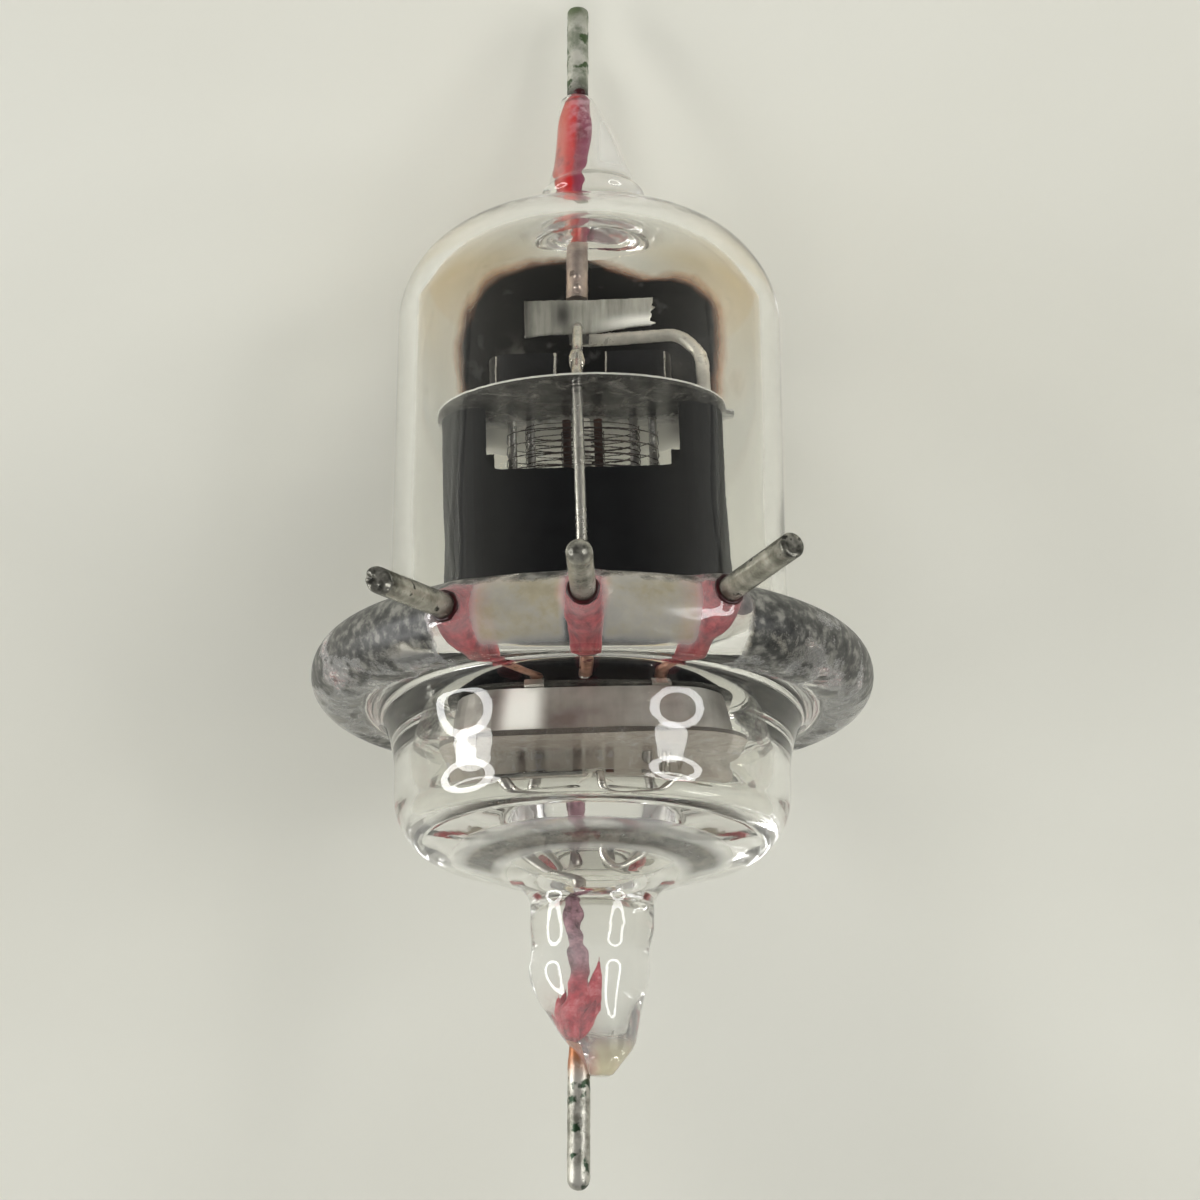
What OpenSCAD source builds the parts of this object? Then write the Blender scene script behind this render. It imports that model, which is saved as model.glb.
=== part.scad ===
// Acorn tube: a fused glass envelope with five pins round its ring and one pin at each end.
// Every piece is drawn upright, +Z towards the top pin and the three front pins towards -Y.
// The whole tube is then laid down as it comes to rest: on its two rear pins and its shoulder.
// All sizes are in millimetres.

/* [Upper bulb] */
// Outside radius of the upper bulb
bulb_r = 7.15; // [6.8:0.05:7.3]
// Thickness of the blown wall
wall = 0.7; // [0.5:0.05:0.8]
// Height of the centre of the shoulder above the ring
shoulder_z = 13.7; // [13.2:0.1:15]
// Outside radius of the shoulder's bend
shoulder_r = 3.6; // [3:0.1:4]
// Radius of the neck under the bead
neck_r = 1.9; // [1.8:0.05:2.4]
// Height at which the neck meets the bead
neck_z = 19.4; // [19:0.1:20.2]
// Thickness of the glass between the dome's inside and the bead
neck_wall = 1.7; // [1.4:0.1:2.2]
// Height of the bead above the neck
bead_h = 4.1; // [3.4:0.1:5]

/* [Ring] */
// Radius of the middle line of the ring
ring_r = 8.7; // [8.5:0.05:9]
// Radius of the ring's own round section
ring_tube_r = 1.32; // [1.1:0.02:1.4]
// Radius of the hollow where the ring runs into the wall
ring_blend = 0.8; // [0.6:0.05:1]

/* [Lower cup] */
// Outside radius of the lower cup at the ring
cup_r = 7.2; // [6.9:0.05:7.3]
// Outside radius of the lower cup where it turns in
cup_low_r = 7; // [6.7:0.05:7.1]
// Depth of the turn's centre below the ring
cup_z = 4.2; // [3.9:0.1:5]
// Outside radius of the lower turn
cup_turn_r = 2.5; // [2:0.1:2.8]
// Depth at which the cup has drawn in to its stem
stem_z = 8.15; // [7.9:0.05:8.8]
// Radius of the stem
stem_r = 2.15; // [1.9:0.05:2.4]
// Length of the stem with its pinched tip
stem_h = 5.35; // [5:0.05:6]

/* [Pins] */
// Radius of the pins
pin_r = 0.43; // [0.38:0.01:0.46]
// Radius of the copper-clad wires sealed in the ring
ring_seal_r = 0.6; // [0.59:0.01:0.65]
// Radius of the wire sealed in the stem
seal_r = 0.33; // [0.28:0.01:0.36]
// Height of the front pin above the ring's middle
front_pin_z = 0.3; // [0:0.02:0.5]
// Height of the left pin above the ring's middle
left_pin_z = 0.18; // [0:0.02:0.5]
// Height of the right pin above the ring's middle
right_pin_z = 0.5; // [0:0.02:0.5]
// Distance from the tube's axis to the tips of the ring pins
pin_reach = 14.2; // [13.6:0.1:15.2]
// Length of the top pin
top_pin_h = 4.1; // [3:0.1:6]
// Length of the bottom pin outside the tip of the stem
bottom_pin_h = 4.2; // [3:0.1:6]
// How far the top pin stands left of the tube's axis
top_off = 0.6; // [0.4:0.05:0.7]
// How far the bottom pin stands left of the tube's axis
bottom_off = 0.45; // [0.3:0.05:0.6]
// Angle of each rear pin from straight back
rear_az = 22; // [18:1:30]
// Radius of the wires welded behind the seals
lead_r = 0.24; // [0.18:0.01:0.28]

/* [Cage] */
// How far the cage leans in the envelope, in degrees
cage_lean = 2; // [0:0.5:3]
// Thickness of the mica plates
mica_t = 0.2; // [0.12:0.01:0.25]
// Height of the top mica's underside
top_mica_z = 10; // [9.9:0.05:10.3]
// Half length of the top mica
top_mica_a = 5.38; // [5.2:0.02:5.5]
// Half depth of the top mica
top_mica_b = 4.1; // [3.9:0.05:4.4]
// Half length of the middle and bottom micas
low_mica_a = 5.34; // [5.2:0.02:5.5]
// Half depth of the middle and bottom micas
low_mica_b = 3.1; // [3.05:0.01:3.2]
// Height of the bottom mica's underside, below the ring
bottom_mica_z = -2.74; // [-3:0.02:-2.5]
// Gap round a rod in its hole, and between pieces that rest together
fit_gap = 0.02; // [0.01:0.005:0.03]

/* [Anode and shields] */
// Half width of the anode outside
anode_a = 5.1; // [5:0.02:5.2]
// Half depth of the anode outside
anode_b = 2.45; // [2.3:0.05:2.6]
// Corner radius of the anode
anode_corner = 1.5; // [1:0.1:2]
// Thickness of the anode's sheet
anode_t = 0.15; // [0.1:0.01:0.2]
// Height of the anode
anode_h = 9.45; // [9:0.05:9.7]
// Width of the windows at the anode's top edge
window_w = 6.85; // [6:0.05:7.2]
// Height of the windows
window_h = 2.4; // [2:0.1:3]
// Half width of the lower shield outside
can_a = 4.9; // [4.7:0.02:5.1]
// Half depth of the lower shield outside
can_b = 2.9; // [2.8:0.02:3]
// Thickness of the shields' sheet
shield_t = 0.12; // [0.1:0.01:0.15]
// Half width of the top shield
hood_a = 3.3; // [3.1:0.05:3.5]
// Half depth of the top shield
hood_b = 2.3; // [2.1:0.05:2.5]
// Height of the top shield
hood_h = 1.55; // [1.2:0.05:1.8]
// Width of the slots in the front and back of the top shield
hood_slot = 1.8; // [1.4:0.1:2.2]

/* [Electrodes] */
// Radius of the cathode sleeve
cathode_r = 0.3; // [0.28:0.01:0.33]
// Thickness of the cathode sleeve
cathode_t = 0.06; // [0.05:0.01:0.07]
// Radius of the coated heater wire
heater_r = 0.09; // [0.07:0.01:0.1]
// Distance of the control grid's side rods from the middle
control_x = 0.58; // [0.56:0.01:0.6]
// Half depth of the control grid
control_b = 0.52; // [0.48:0.01:0.6]
// Distance of the screen grid's side rods from the middle
screen_x = 1.9; // [1.75:0.01:1.98]
// Half depth of the screen grid
screen_b = 1.05; // [0.9:0.05:1.15]
// Distance of the suppressor grid's side rods from the middle
suppressor_x = 2.6; // [2.58:0.01:2.8]
// Half depth of the suppressor grid
suppressor_b = 1.6; // [1.5:0.05:1.75]
// Radius of the grids' side rods
rod_r = 0.16; // [0.12:0.01:0.18]
// Radius of the grids' fine wire
grid_wire_r = 0.035; // [0.03:0.005:0.045]
// Pitch of the control grid's winding
control_pitch = 0.25; // [0.25:0.05:0.4]
// Pitch of the screen grid's winding
screen_pitch = 0.3; // [0.3:0.05:0.5]
// Pitch of the suppressor grid's winding
suppressor_pitch = 0.6; // [0.5:0.05:0.9]
// Distance of the anode's support rods from the middle
anode_rod_x = 4.6; // [4.5:0.01:4.65]
// Radius of the anode's support rods
anode_rod_r = 0.24; // [0.18:0.01:0.26]

/* [Getter] */
// Width of the getter flag
flag_w = 4.8; // [4:0.1:5.2]
// Height of the getter flag
flag_h = 1.45; // [1.2:0.05:1.6]
// Height of the flag's lower edge
flag_z = 12.95; // [12.8:0.05:13.1]
// Radius of the wire that carries the getter
getter_wire_r = 0.2; // [0.16:0.01:0.22]
// Thickness of the getter's film on the dome, drawn thicker than the real one
film_t = 0.04; // [0.03:0.01:0.06]
// Angle that the film covers on each side of straight back
film_az = 62; // [50:1:70]

/* [Hidden] */
$fn = 48;

// Each ring pin: its angle from straight forward, its height at the ring, its rise in degrees
FRONT = [-1.5, front_pin_z, 0];
LEFT = [-28, left_pin_z, -3.4];
RIGHT = [26, right_pin_z, 4.1];
REAR_LEFT = [180 + rear_az, 0, 0];
REAR_RIGHT = [180 - rear_az, 0, 0];

// The shoulder's and the lower turn's arcs end at these angles, where a gentle slope takes over
shoulder_end = 74;
turn_end = 76;
neck_blend = 1.1;
stem_blend = 0.9;

// Where the envelope ends and its cavity lies
dome_z = neck_z - neck_wall;
bead_top = neck_z + bead_h;
stem_end = -(stem_z + stem_h);
bore_r = bulb_r - wall;
funnel_z = -(stem_z - 0.35);
top_pin_end = bead_top + top_pin_h;
bottom_pin_start = stem_end + 0.9;
bottom_pin_end = stem_end - bottom_pin_h;

// The cage's plates and what stands between them
cage_x = -0.05;
top_mica_top = top_mica_z + mica_t;
middle_mica_z = -mica_t / 2;
middle_mica_top = mica_t / 2;
bottom_mica_top = bottom_mica_z + mica_t;
anode_z = middle_mica_top + 0.1;
anode_top = anode_z + anode_h;
rod_bottom = bottom_mica_z - 0.25;
rod_top = top_mica_top + 0.4;
rod_hole = rod_r + fit_gap;
wind_bottom = middle_mica_top + 0.25;
wind_top = top_mica_z - 0.25;
clip_w = 0.7;
clip_left_x = -2;
clip_right_x = 2.5;

// The getter's wire leans back from the front of the top mica to the flag
getter_wire_y = -(anode_b + 0.75);
getter_hole_x = -0.15;
flag_y = -1;
flag_t = 0.1;
weld_z = 12.1;

// The strip under the top lead and the rod that runs from it to the anode
strip_t = 0.15;
strip_w = 0.75;
strip_z = 13.3;
lead_low_z = 14.9;
strip_top = lead_low_z + 1.1;
top_lead_r = pin_r - 0.02;
bridge_z = 13.6;
bridge_y = top_lead_r + fit_gap + strip_t + fit_gap + anode_rod_r;

// Rest: the tube lies on the rounded tips of the rear pins and on its shoulder
rear_y = (pin_reach - pin_r) * cos(rear_az);
shoulder_y = bulb_r - shoulder_r;
rest_span = norm([rear_y - shoulder_y, shoulder_z]);
rest_angle = atan2(rear_y - shoulder_y, shoulder_z) - asin((shoulder_r - pin_r) / rest_span);
rest_lift = rear_y * cos(rest_angle) + pin_r;
rest_shift = -(top_pin_end + bottom_pin_end) / 2 * cos(rest_angle);

// Helpers for outlines

function arc(c, r, a0, a1, n) =
    [for (i = [0:n]) let (a = a0 + (a1 - a0) * i / n) c + r * [cos(a), sin(a)]];

// A rectangle of half sizes a and b with round corners
function rounded_box(a, b, r, n = 8) = concat(
    arc([a - r, b - r], r, 0, 90, n),
    arc([r - a, b - r], r, 90, 180, n),
    arc([r - a, r - b], r, 180, 270, n),
    arc([a - r, r - b], r, 270, 360, n)
);

function oval(a, b, n = 60) = [for (i = [0:n - 1]) [a * cos(360 * i / n), b * sin(360 * i / n)]];

// Height over a wall of radius w of the centre of the hollow that blends it into the ring
function blend_z(w) = sqrt(pow(ring_tube_r + ring_blend, 2) - pow(ring_r - w - ring_blend, 2));
function blend_angle(w) = atan2(blend_z(w), w + ring_blend - ring_r);

// Helpers for wires and for glass drawn out by hand

function unit(v) = v / norm(v);
function tangents(p) = [for (i = [0:len(p) - 1]) unit(p[min(i + 1, len(p) - 1)] - p[max(i - 1, 0)])];
function across(t, n) = unit(n - (n * t) * t);
function frames(t, n0, i = 0) =
    i == len(t) ? [] : let (n = across(t[i], n0)) concat([n], frames(t, n, i + 1));

// The path with each corner turned into a smooth bend of reach b
function bent(p, b) = concat(
    [p[0]],
    [for (i = [1:len(p) - 2])
        let (s = p[i] + b * unit(p[i - 1] - p[i]), e = p[i] + b * unit(p[i + 1] - p[i]))
        for (k = [0:4]) let (u = k / 4) pow(1 - u, 2) * s + 2 * u * (1 - u) * p[i] + pow(u, 2) * e],
    [p[len(p) - 1]]
);

function skin_faces(rings, sides) = concat(
    [[for (j = [0:sides - 1]) j]],
    [[for (j = [sides - 1:-1:0]) (rings - 1) * sides + j]],
    [for (k = [0:rings - 2]) for (j = [0:sides - 1]) let (m = (j + 1) % sides)
        [k * sides + j, (k + 1) * sides + j, (k + 1) * sides + m]],
    [for (k = [0:rings - 2]) for (j = [0:sides - 1]) let (m = (j + 1) % sides)
        [k * sides + j, (k + 1) * sides + m, k * sides + m]]
);

module wire(path, r, sides = 8) {
    t = tangents(path);
    n = frames(t, abs(t[0].z) < 0.9 ? [0, 0, 1] : [1, 0, 0]);
    polyhedron(
        points = [for (i = [0:len(path) - 1]) for (j = [0:sides - 1]) let (a = 360 * j / sides)
            path[i] + r * (cos(a) * n[i] + sin(a) * cross(t[i], n[i]))],
        faces = skin_faces(len(path), sides)
    );
}

// Glass drawn through level circles, each given as [offset in x, height, radius], from low to high
module drawn_glass(circles, sides = 32) {
    polyhedron(
        points = [for (c = circles) for (j = [0:sides - 1]) let (a = 360 * j / sides)
            [c[0] + c[2] * cos(a), c[2] * sin(a), c[1]]],
        faces = skin_faces(len(circles), sides)
    );
}

// A round rod from height z0 to z1 with a domed end at z1.
// A root, given as its radius and height, makes it start thinner below z0.
module domed_rod(r, z0, z1, root = [0, 0]) {
    start = root[0] > 0 ? [[0, root[1]], root] : [[0, z0]];
    rotate_extrude()
        polygon(concat(start, [[r, z0]], arc([0, z1 - r], r, 0, 84, 8), [[0, z1]]));
}

module post(x, y, z0, z1, r) {
    translate([x, y, z0]) cylinder(r = r, h = z1 - z0);
}

// Placing

module rest() {
    translate([0, rest_shift, rest_lift]) rotate([-(90 + rest_angle), 0, 0]) children();
}

module in_cage() {
    rest() translate([cage_x, 0, 0]) rotate([0, -cage_lean, 0]) children();
}

// The local +Z of a ring pin runs outwards from the middle line of the ring
module on_ring(p) {
    rotate([0, 0, p[0]]) translate([0, -ring_r, p[1]]) rotate([90 - p[2], 0, 0]) children();
}

// A point on a ring pin's axis, t outwards from the middle line of the ring
function ring_point(p, t) =
    let (out = ring_r + t * cos(p[2])) [out * sin(p[0]), -out * cos(p[0]), p[1] + t * sin(p[2])];

// The seals reach from the bore of the wall to just outside the ring's surface, where the pins are welded on
seal_in = bore_r - ring_r;
seal_out = ring_tube_r + 0.06;
pin_out = pin_reach - ring_r;

// A sealed wire, drawn in towards its welded end at z1
module tapered_post(r, end_r, z0, z1, taper) {
    rotate_extrude()
        polygon([[0, z0], [r, z0], [r, z1 - taper], [end_r, z1], [0, z1]]);
}

module ring_seal_cut(p) {
    on_ring(p) tapered_post(ring_seal_r, pin_r + 0.07, seal_in - 1, seal_out, 0.4);
}

module top_seal_cut() {
    translate([-top_off, 0, 0]) {
        tapered_post(pin_r, pin_r - 0.04, dome_z - 1, bead_top, 0.65);
        translate([0, 0, bead_top - 0.01]) cylinder(r = pin_r - 0.04, h = 1);
    }
}

// Inside the stem's tip the bottom pin widens from the sealed wire to its own radius
module bottom_pin_cut() {
    translate([-bottom_off, 0, stem_end]) {
        cylinder(r1 = pin_r, r2 = seal_r, h = bottom_pin_start - stem_end);
        translate([0, 0, -1]) cylinder(r = pin_r, h = 1.01);
    }
}

// Glass envelope

module envelope_outline() {
    up = [bulb_r + ring_blend, blend_z(bulb_r)];
    low = [cup_r + ring_blend, -blend_z(cup_r)];
    polygon(concat(
        [[0, neck_z], [neck_r, neck_z]],
        arc([neck_r + neck_blend, neck_z - 0.5], neck_blend, 180, 250, 6),
        arc([shoulder_y, shoulder_z], shoulder_r, shoulder_end, 0, 10),
        arc(up, ring_blend, 180, 180 + blend_angle(bulb_r), 6),
        arc([ring_r, 0], ring_tube_r, blend_angle(bulb_r), -blend_angle(cup_r), 22),
        arc(low, ring_blend, 180 - blend_angle(cup_r), 180, 6),
        arc([cup_low_r - cup_turn_r, -cup_z], cup_turn_r, 0, -turn_end, 10),
        arc([stem_r + stem_blend, -stem_z], stem_blend, 100, 176, 6),
        [[0, -stem_z]]
    ));
}

module cavity_outline() {
    polygon(concat(
        [[0, dome_z], [0.9, dome_z], [2.2, dome_z - 0.55]],
        arc([shoulder_y, shoulder_z], shoulder_r - wall, shoulder_end, 0, 10),
        [[bore_r, 0], [cup_r - wall, -blend_z(cup_r)]],
        arc([cup_low_r - cup_turn_r, -cup_z], cup_turn_r - wall, 0, -turn_end, 8),
        [[2.2, -(stem_z - 1.55)], [1.1, -(stem_z - 0.9)], [0.8, funnel_z], [0, funnel_z]]
    ));
}

// The bead is drawn out to the left, towards the top pin
module bead() {
    drawn_glass([
        [0, neck_z - 0.3, neck_r - 0.07],
        [-0.02, neck_z + 0.15, neck_r - 0.09],
        [-0.05, neck_z + 0.7, 1.55],
        [-0.1, neck_z + 1.05, 1.42],
        [-0.26, neck_z + 2.3, 1.14],
        [-0.46, bead_top - 0.9, 0.9],
        [-top_off - 0.03, bead_top - 0.2, 0.68],
        [-top_off, bead_top, 0.54]
    ]);
}

// The stem was pinched off with its left side cut away along the pin.
// Each circle below gives its offset, height and radius as shares of the stem's own radius and length.
module stem() {
    circles = [
        [0.14, 0, 0.19],
        [0.16, 0.075, 0.36],
        [0.15, 0.168, 0.51],
        [0.1, 0.252, 0.62],
        [0.055, 0.355, 0.73],
        [0, 0.467, 0.86],
        [-0.02, 0.561, 0.945],
        [0, 0.766, 0.99],
        [0, 1.045, 0.987]
    ];
    drawn_glass([for (c = circles) [c[0] * stem_r, stem_end + c[1] * stem_h, c[2] * stem_r]]);
}

module glass_envelope() {
    color([0.86, 0.9, 0.88, 0.35]) rest() difference() {
        union() {
            rotate_extrude() difference() {
                envelope_outline();
                cavity_outline();
            }
            bead();
            stem();
        }
        for (p = [FRONT, LEFT, RIGHT, REAR_LEFT, REAR_RIGHT])
            ring_seal_cut(p);
        top_seal_cut();
        post(-bottom_off, 0, bottom_pin_start, funnel_z + 1, seal_r);
        bottom_pin_cut();
    }
}

// Pins round the ring

module ring_pin(p) {
    color("silver") rest() on_ring(p) domed_rod(pin_r, seal_out, pin_out);
}

module pin_front() {
    ring_pin(FRONT);
}

// The left pin was snipped off, which left a slanting end
module pin_left() {
    color("silver") rest() on_ring(LEFT) difference() {
        translate([0, 0, seal_out]) cylinder(r = pin_r, h = pin_out - seal_out);
        translate([0, 0, pin_out]) rotate([0, 28, 0]) translate([-1, -1, -0.08]) cube([2, 2, 2]);
    }
}

module pin_right() {
    edge = 0.06;
    color("silver") rest() on_ring(RIGHT) rotate_extrude()
        polygon([[0, seal_out], [pin_r, seal_out], [pin_r, pin_out - edge],
            [pin_r - edge, pin_out], [0, pin_out]]);
}

module pin_rear_left() {
    ring_pin(REAR_LEFT);
}

module pin_rear_right() {
    ring_pin(REAR_RIGHT);
}

// Copper-clad wires sealed in the ring

module ring_seal(p) {
    color("firebrick") rest() on_ring(p)
        tapered_post(ring_seal_r, pin_r + 0.07, seal_in, seal_out, 0.4);
}

module seal_front() {
    ring_seal(FRONT);
}

module seal_left() {
    ring_seal(LEFT);
}

module seal_right() {
    ring_seal(RIGHT);
}

module seal_rear_left() {
    ring_seal(REAR_LEFT);
}

module seal_rear_right() {
    ring_seal(REAR_RIGHT);
}

// Wires inside the ring

// The front lead butts against the getter's wire
module lead_front() {
    start = ring_point(FRONT, seal_in);
    color("peru") rest()
        wire([start, [-0.25, getter_wire_y - getter_wire_r - fit_gap, start.z]], lead_r, 12);
}

// The left and right leads lie on the clips at the middle mica's front edge
module clip_lead(p, x) {
    start = ring_point(p, seal_in);
    over = middle_mica_top + shield_t + lead_r + 3 * fit_gap - (x - cage_x) * -sin(cage_lean);
    color("peru") rest() wire(
        bent([start, ring_point(p, seal_in - 0.8), [x, -low_mica_b - 0.5, over],
            [x, -low_mica_b + 0.25, over]], 0.3),
        lead_r
    );
}

module lead_left() {
    clip_lead(LEFT, clip_left_x);
}

module lead_right() {
    clip_lead(RIGHT, clip_right_x);
}

// The rear leads run down behind the lower shield and in to the heater's legs
module rear_lead(p, side) {
    start = ring_point(p, seal_in);
    down = ring_point(p, min(bore_r, cup_low_r - wall) - 0.4 - ring_r);
    leg = -(cup_z + 0.3);
    color("peru") rest() wire(
        bent([start, down, [down.x, down.y, leg], [side * 0.75, 0.75, leg - 0.1],
            [side * 0.62, 0.42, leg - 0.1]], 0.3),
        lead_r
    );
}

module lead_rear_left() {
    rear_lead(REAR_LEFT, -1);
}

module lead_rear_right() {
    rear_lead(REAR_RIGHT, 1);
}

// Clips folded over the front edge of the middle mica, which tie the leads to the lower shield
module clip(x) {
    out = -low_mica_b - fit_gap - shield_t;
    in = -low_mica_b + 0.35;
    low = middle_mica_z - fit_gap - shield_t;
    high = middle_mica_top + fit_gap;
    translate([x - clip_w / 2, out, low]) difference() {
        cube([clip_w, in - out, high + shield_t - low]);
        translate([-1, shield_t, shield_t]) cube([clip_w + 2, 2, high - low - shield_t]);
    }
}

module lead_clips() {
    color("gainsboro") in_cage() {
        clip(clip_left_x);
        clip(clip_right_x);
    }
}

// Top pin and its wires

module top_pin() {
    color("silver") rest() translate([-top_off, 0, 0]) domed_rod(pin_r, bead_top, top_pin_end);
}

module top_seal() {
    color("firebrick") rest() translate([-top_off, 0, 0])
        tapered_post(pin_r, pin_r - 0.04, dome_z, bead_top, 0.65);
}

// Two spot welds dent the front of the lead near its end
module top_lead() {
    color("silver") rest() difference() {
        post(-top_off, 0, lead_low_z, dome_z, top_lead_r);
        for (z = [lead_low_z + 0.28, lead_low_z + 0.72])
            translate([-top_off, -top_lead_r - 0.12, z]) sphere(r = 0.22);
    }
}

module top_strip() {
    color("dimgray") in_cage()
        translate([-strip_w / 2, top_lead_r + fit_gap, strip_z])
            cube([strip_w, strip_t, strip_top - strip_z]);
}

// Bottom pin and its wires

module bottom_pin() {
    color("silver") rest() translate([-bottom_off, 0, 0]) mirror([0, 0, 1])
        domed_rod(pin_r, -stem_end, -bottom_pin_end, [seal_r, -bottom_pin_start]);
}

module bottom_seal() {
    color("firebrick") rest() post(-bottom_off, 0, bottom_pin_start, funnel_z, seal_r);
}

// The bottom lead rises from the seal and turns left, up to the strap under the bottom mica
module bottom_lead() {
    hook = rod_bottom - fit_gap - shield_t - 3.2 * sin(cage_lean) - 0.4 * lead_r;
    color("silver") rest() wire(
        bent([[-bottom_off, 0, funnel_z + fit_gap], [-bottom_off, 0, funnel_z + 0.9], [-2.7, -0.3, -4.9],
            [-3.2, -0.55, hook]], 0.35),
        lead_r
    );
}

// Anode

module anode_outline() {
    difference() {
        polygon(rounded_box(anode_a, anode_b, anode_corner));
        polygon(rounded_box(anode_a - anode_t, anode_b - anode_t, anode_corner - anode_t));
    }
}

// A flattened tube, open at both ends, with a window in the top of its front and back
module anode() {
    color([0.12, 0.12, 0.12]) in_cage() difference() {
        translate([0, 0, anode_z]) linear_extrude(height = anode_h) anode_outline();
        translate([0, anode_b + 1, anode_top]) rotate([90, 0, 0])
            linear_extrude(height = 2 * anode_b + 2)
                polygon(concat(
                    [[window_w / 2, 1], [-window_w / 2, 1]],
                    arc([0.5 - window_w / 2, 0.5 - window_h], 0.5, 180, 270, 6),
                    arc([window_w / 2 - 0.5, 0.5 - window_h], 0.5, 270, 360, 6)
                ));
    }
}

module anode_rod_left() {
    color("silver") in_cage() post(-anode_rod_x, 0, middle_mica_top + fit_gap, rod_top, anode_rod_r);
}

// The right support rod goes on above the mica and bends over to the strip under the top lead
module anode_rod_right() {
    color("silver") in_cage() wire(
        bent([[anode_rod_x, 0, middle_mica_top + fit_gap], [anode_rod_x, 0, top_mica_top + 0.8],
            [anode_rod_x, 0.2, 12.6], [anode_rod_x - 0.8, 0.55, bridge_z],
            [1, bridge_y, bridge_z], [-0.35, bridge_y, bridge_z]], 0.5),
        anode_rod_r, 12
    );
}

// Micas

module rod_holes() {
    for (x = [-control_x, control_x, -screen_x, screen_x, -suppressor_x, suppressor_x])
        translate([x, 0]) circle(r = rod_hole);
    circle(r = cathode_r + fit_gap);
}

module anode_rod_holes() {
    for (x = [-anode_rod_x, anode_rod_x])
        translate([x, 0]) circle(r = anode_rod_r + fit_gap);
}

module top_mica() {
    color([0.72, 0.68, 0.6]) in_cage() translate([0, 0, top_mica_z]) linear_extrude(height = mica_t)
        difference() {
            union() {
                polygon(oval(top_mica_a, top_mica_b));
                translate([top_mica_a, 0]) polygon([[-0.4, -0.5], [0.3, -0.15], [0.3, 0.2], [-0.4, 0.5]]);
            }
            rod_holes();
            anode_rod_holes();
            translate([getter_hole_x, getter_wire_y]) circle(r = getter_wire_r + 3 * fit_gap);
        }
}

module low_mica(z) {
    translate([0, 0, z]) linear_extrude(height = mica_t) difference() {
        polygon(rounded_box(low_mica_a, low_mica_b, 2));
        rod_holes();
    }
}

module middle_mica() {
    color([0.72, 0.68, 0.6]) in_cage() low_mica(middle_mica_z);
}

module bottom_mica() {
    color([0.66, 0.58, 0.46]) in_cage() low_mica(bottom_mica_z);
}

// Shields

// The top shield stands on the top mica, split at the front and the back
module top_shield() {
    color([0.2, 0.2, 0.2]) in_cage() difference() {
        translate([0, 0, top_mica_top + fit_gap]) linear_extrude(height = hood_h) difference() {
            polygon(rounded_box(hood_a, hood_b, 0.7));
            polygon(rounded_box(hood_a - shield_t, hood_b - shield_t, 0.7 - shield_t));
        }
        translate([-hood_slot / 2, -hood_b - 1, top_mica_z]) cube([hood_slot, 2 * hood_b + 2, hood_h + 2]);
    }
}

// The lower shield closes the space between the middle and the bottom mica
module lower_shield() {
    low = bottom_mica_top + fit_gap;
    high = middle_mica_z - 2 * fit_gap - shield_t - fit_gap;
    color("gray") in_cage() translate([0, 0, low]) linear_extrude(height = high - low) difference() {
        polygon(rounded_box(can_a, can_b, 1.8));
        polygon(rounded_box(can_a - shield_t, can_b - shield_t, 1.8 - shield_t));
    }
}

// Cathode and heater

module cathode() {
    color("ivory") in_cage() difference() {
        post(0, 0, rod_bottom, rod_top, cathode_r);
        post(0, 0, rod_bottom - 1, rod_top + 1, cathode_r - cathode_t);
    }
}

// One hairpin in the cathode; its legs spread below it to the rear leads
module heater() {
    leg = cathode_r - cathode_t - heater_r - fit_gap;
    low = rod_bottom - 0.3;
    top = top_mica_top - 0.3;
    color("antiquewhite") in_cage() wire(
        bent([[-0.62, 0.2, low - 1.1], [-leg, 0, low], [-leg, 0, top], [leg, 0, top], [leg, 0, low],
            [0.62, 0.2, low - 1.1]], leg * 0.9),
        heater_r, 6
    );
}

// The wire that ties the cathode to the lower shield hangs in a slack V
module cathode_wire() {
    color("silver") in_cage() wire(
        bent([[0.2, -cathode_r - 0.17, rod_bottom + 0.1], [0.25, -0.5, -5], [0.8, -0.55, -5.7],
            [2.2, -0.5, -4.9], [3.1, -0.4, bottom_mica_z - 0.22]], 0.35),
        0.15, 6
    );
}

// Grids

// One turn of a grid: flat at the front and back and over the side rods
function turn(a, b, h) =
    let (m = 0.6 * a) [[a, -h], [a, h], [m, b], [-m, b], [-a, h], [-a, -h], [-m, -b], [m, -b]];

module winding(x, b, pitch) {
    a = x + rod_r + fit_gap + grid_wire_r * 1.2;
    corners = turn(a, b, rod_r);
    count = floor((wind_top - wind_bottom) / pitch) * 8;
    sides = [for (i = [0:7]) unit(corners[(i + 1) % 8] - corners[i])];
    outward = [for (i = [0:7]) unit(sides[(i + 7) % 8] - sides[i])];
    polyhedron(
        points = [for (i = [0:count]) for (j = [45:90:315])
            let (flat = corners[i % 8] + outward[i % 8] * grid_wire_r * cos(j))
            [flat.x, flat.y, wind_bottom + pitch * i / 8 - grid_wire_r * sin(j)]],
        faces = skin_faces(count + 1, 4)
    );
}

module rods(x) {
    for (s = [-1, 1])
        post(s * x, 0, rod_bottom, rod_top, rod_r);
}

module control_grid_rods() {
    color("silver") in_cage() rods(control_x);
}

module control_grid_winding() {
    color("silver") in_cage() winding(control_x, control_b, control_pitch);
}

module screen_grid_rods() {
    color("silver") in_cage() rods(screen_x);
}

module screen_grid_winding() {
    color("silver") in_cage() winding(screen_x, screen_b, screen_pitch);
}

module suppressor_grid_rods() {
    color("silver") in_cage() rods(suppressor_x);
}

module suppressor_grid_winding() {
    color("silver") in_cage() winding(suppressor_x, suppressor_b, suppressor_pitch);
}

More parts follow.
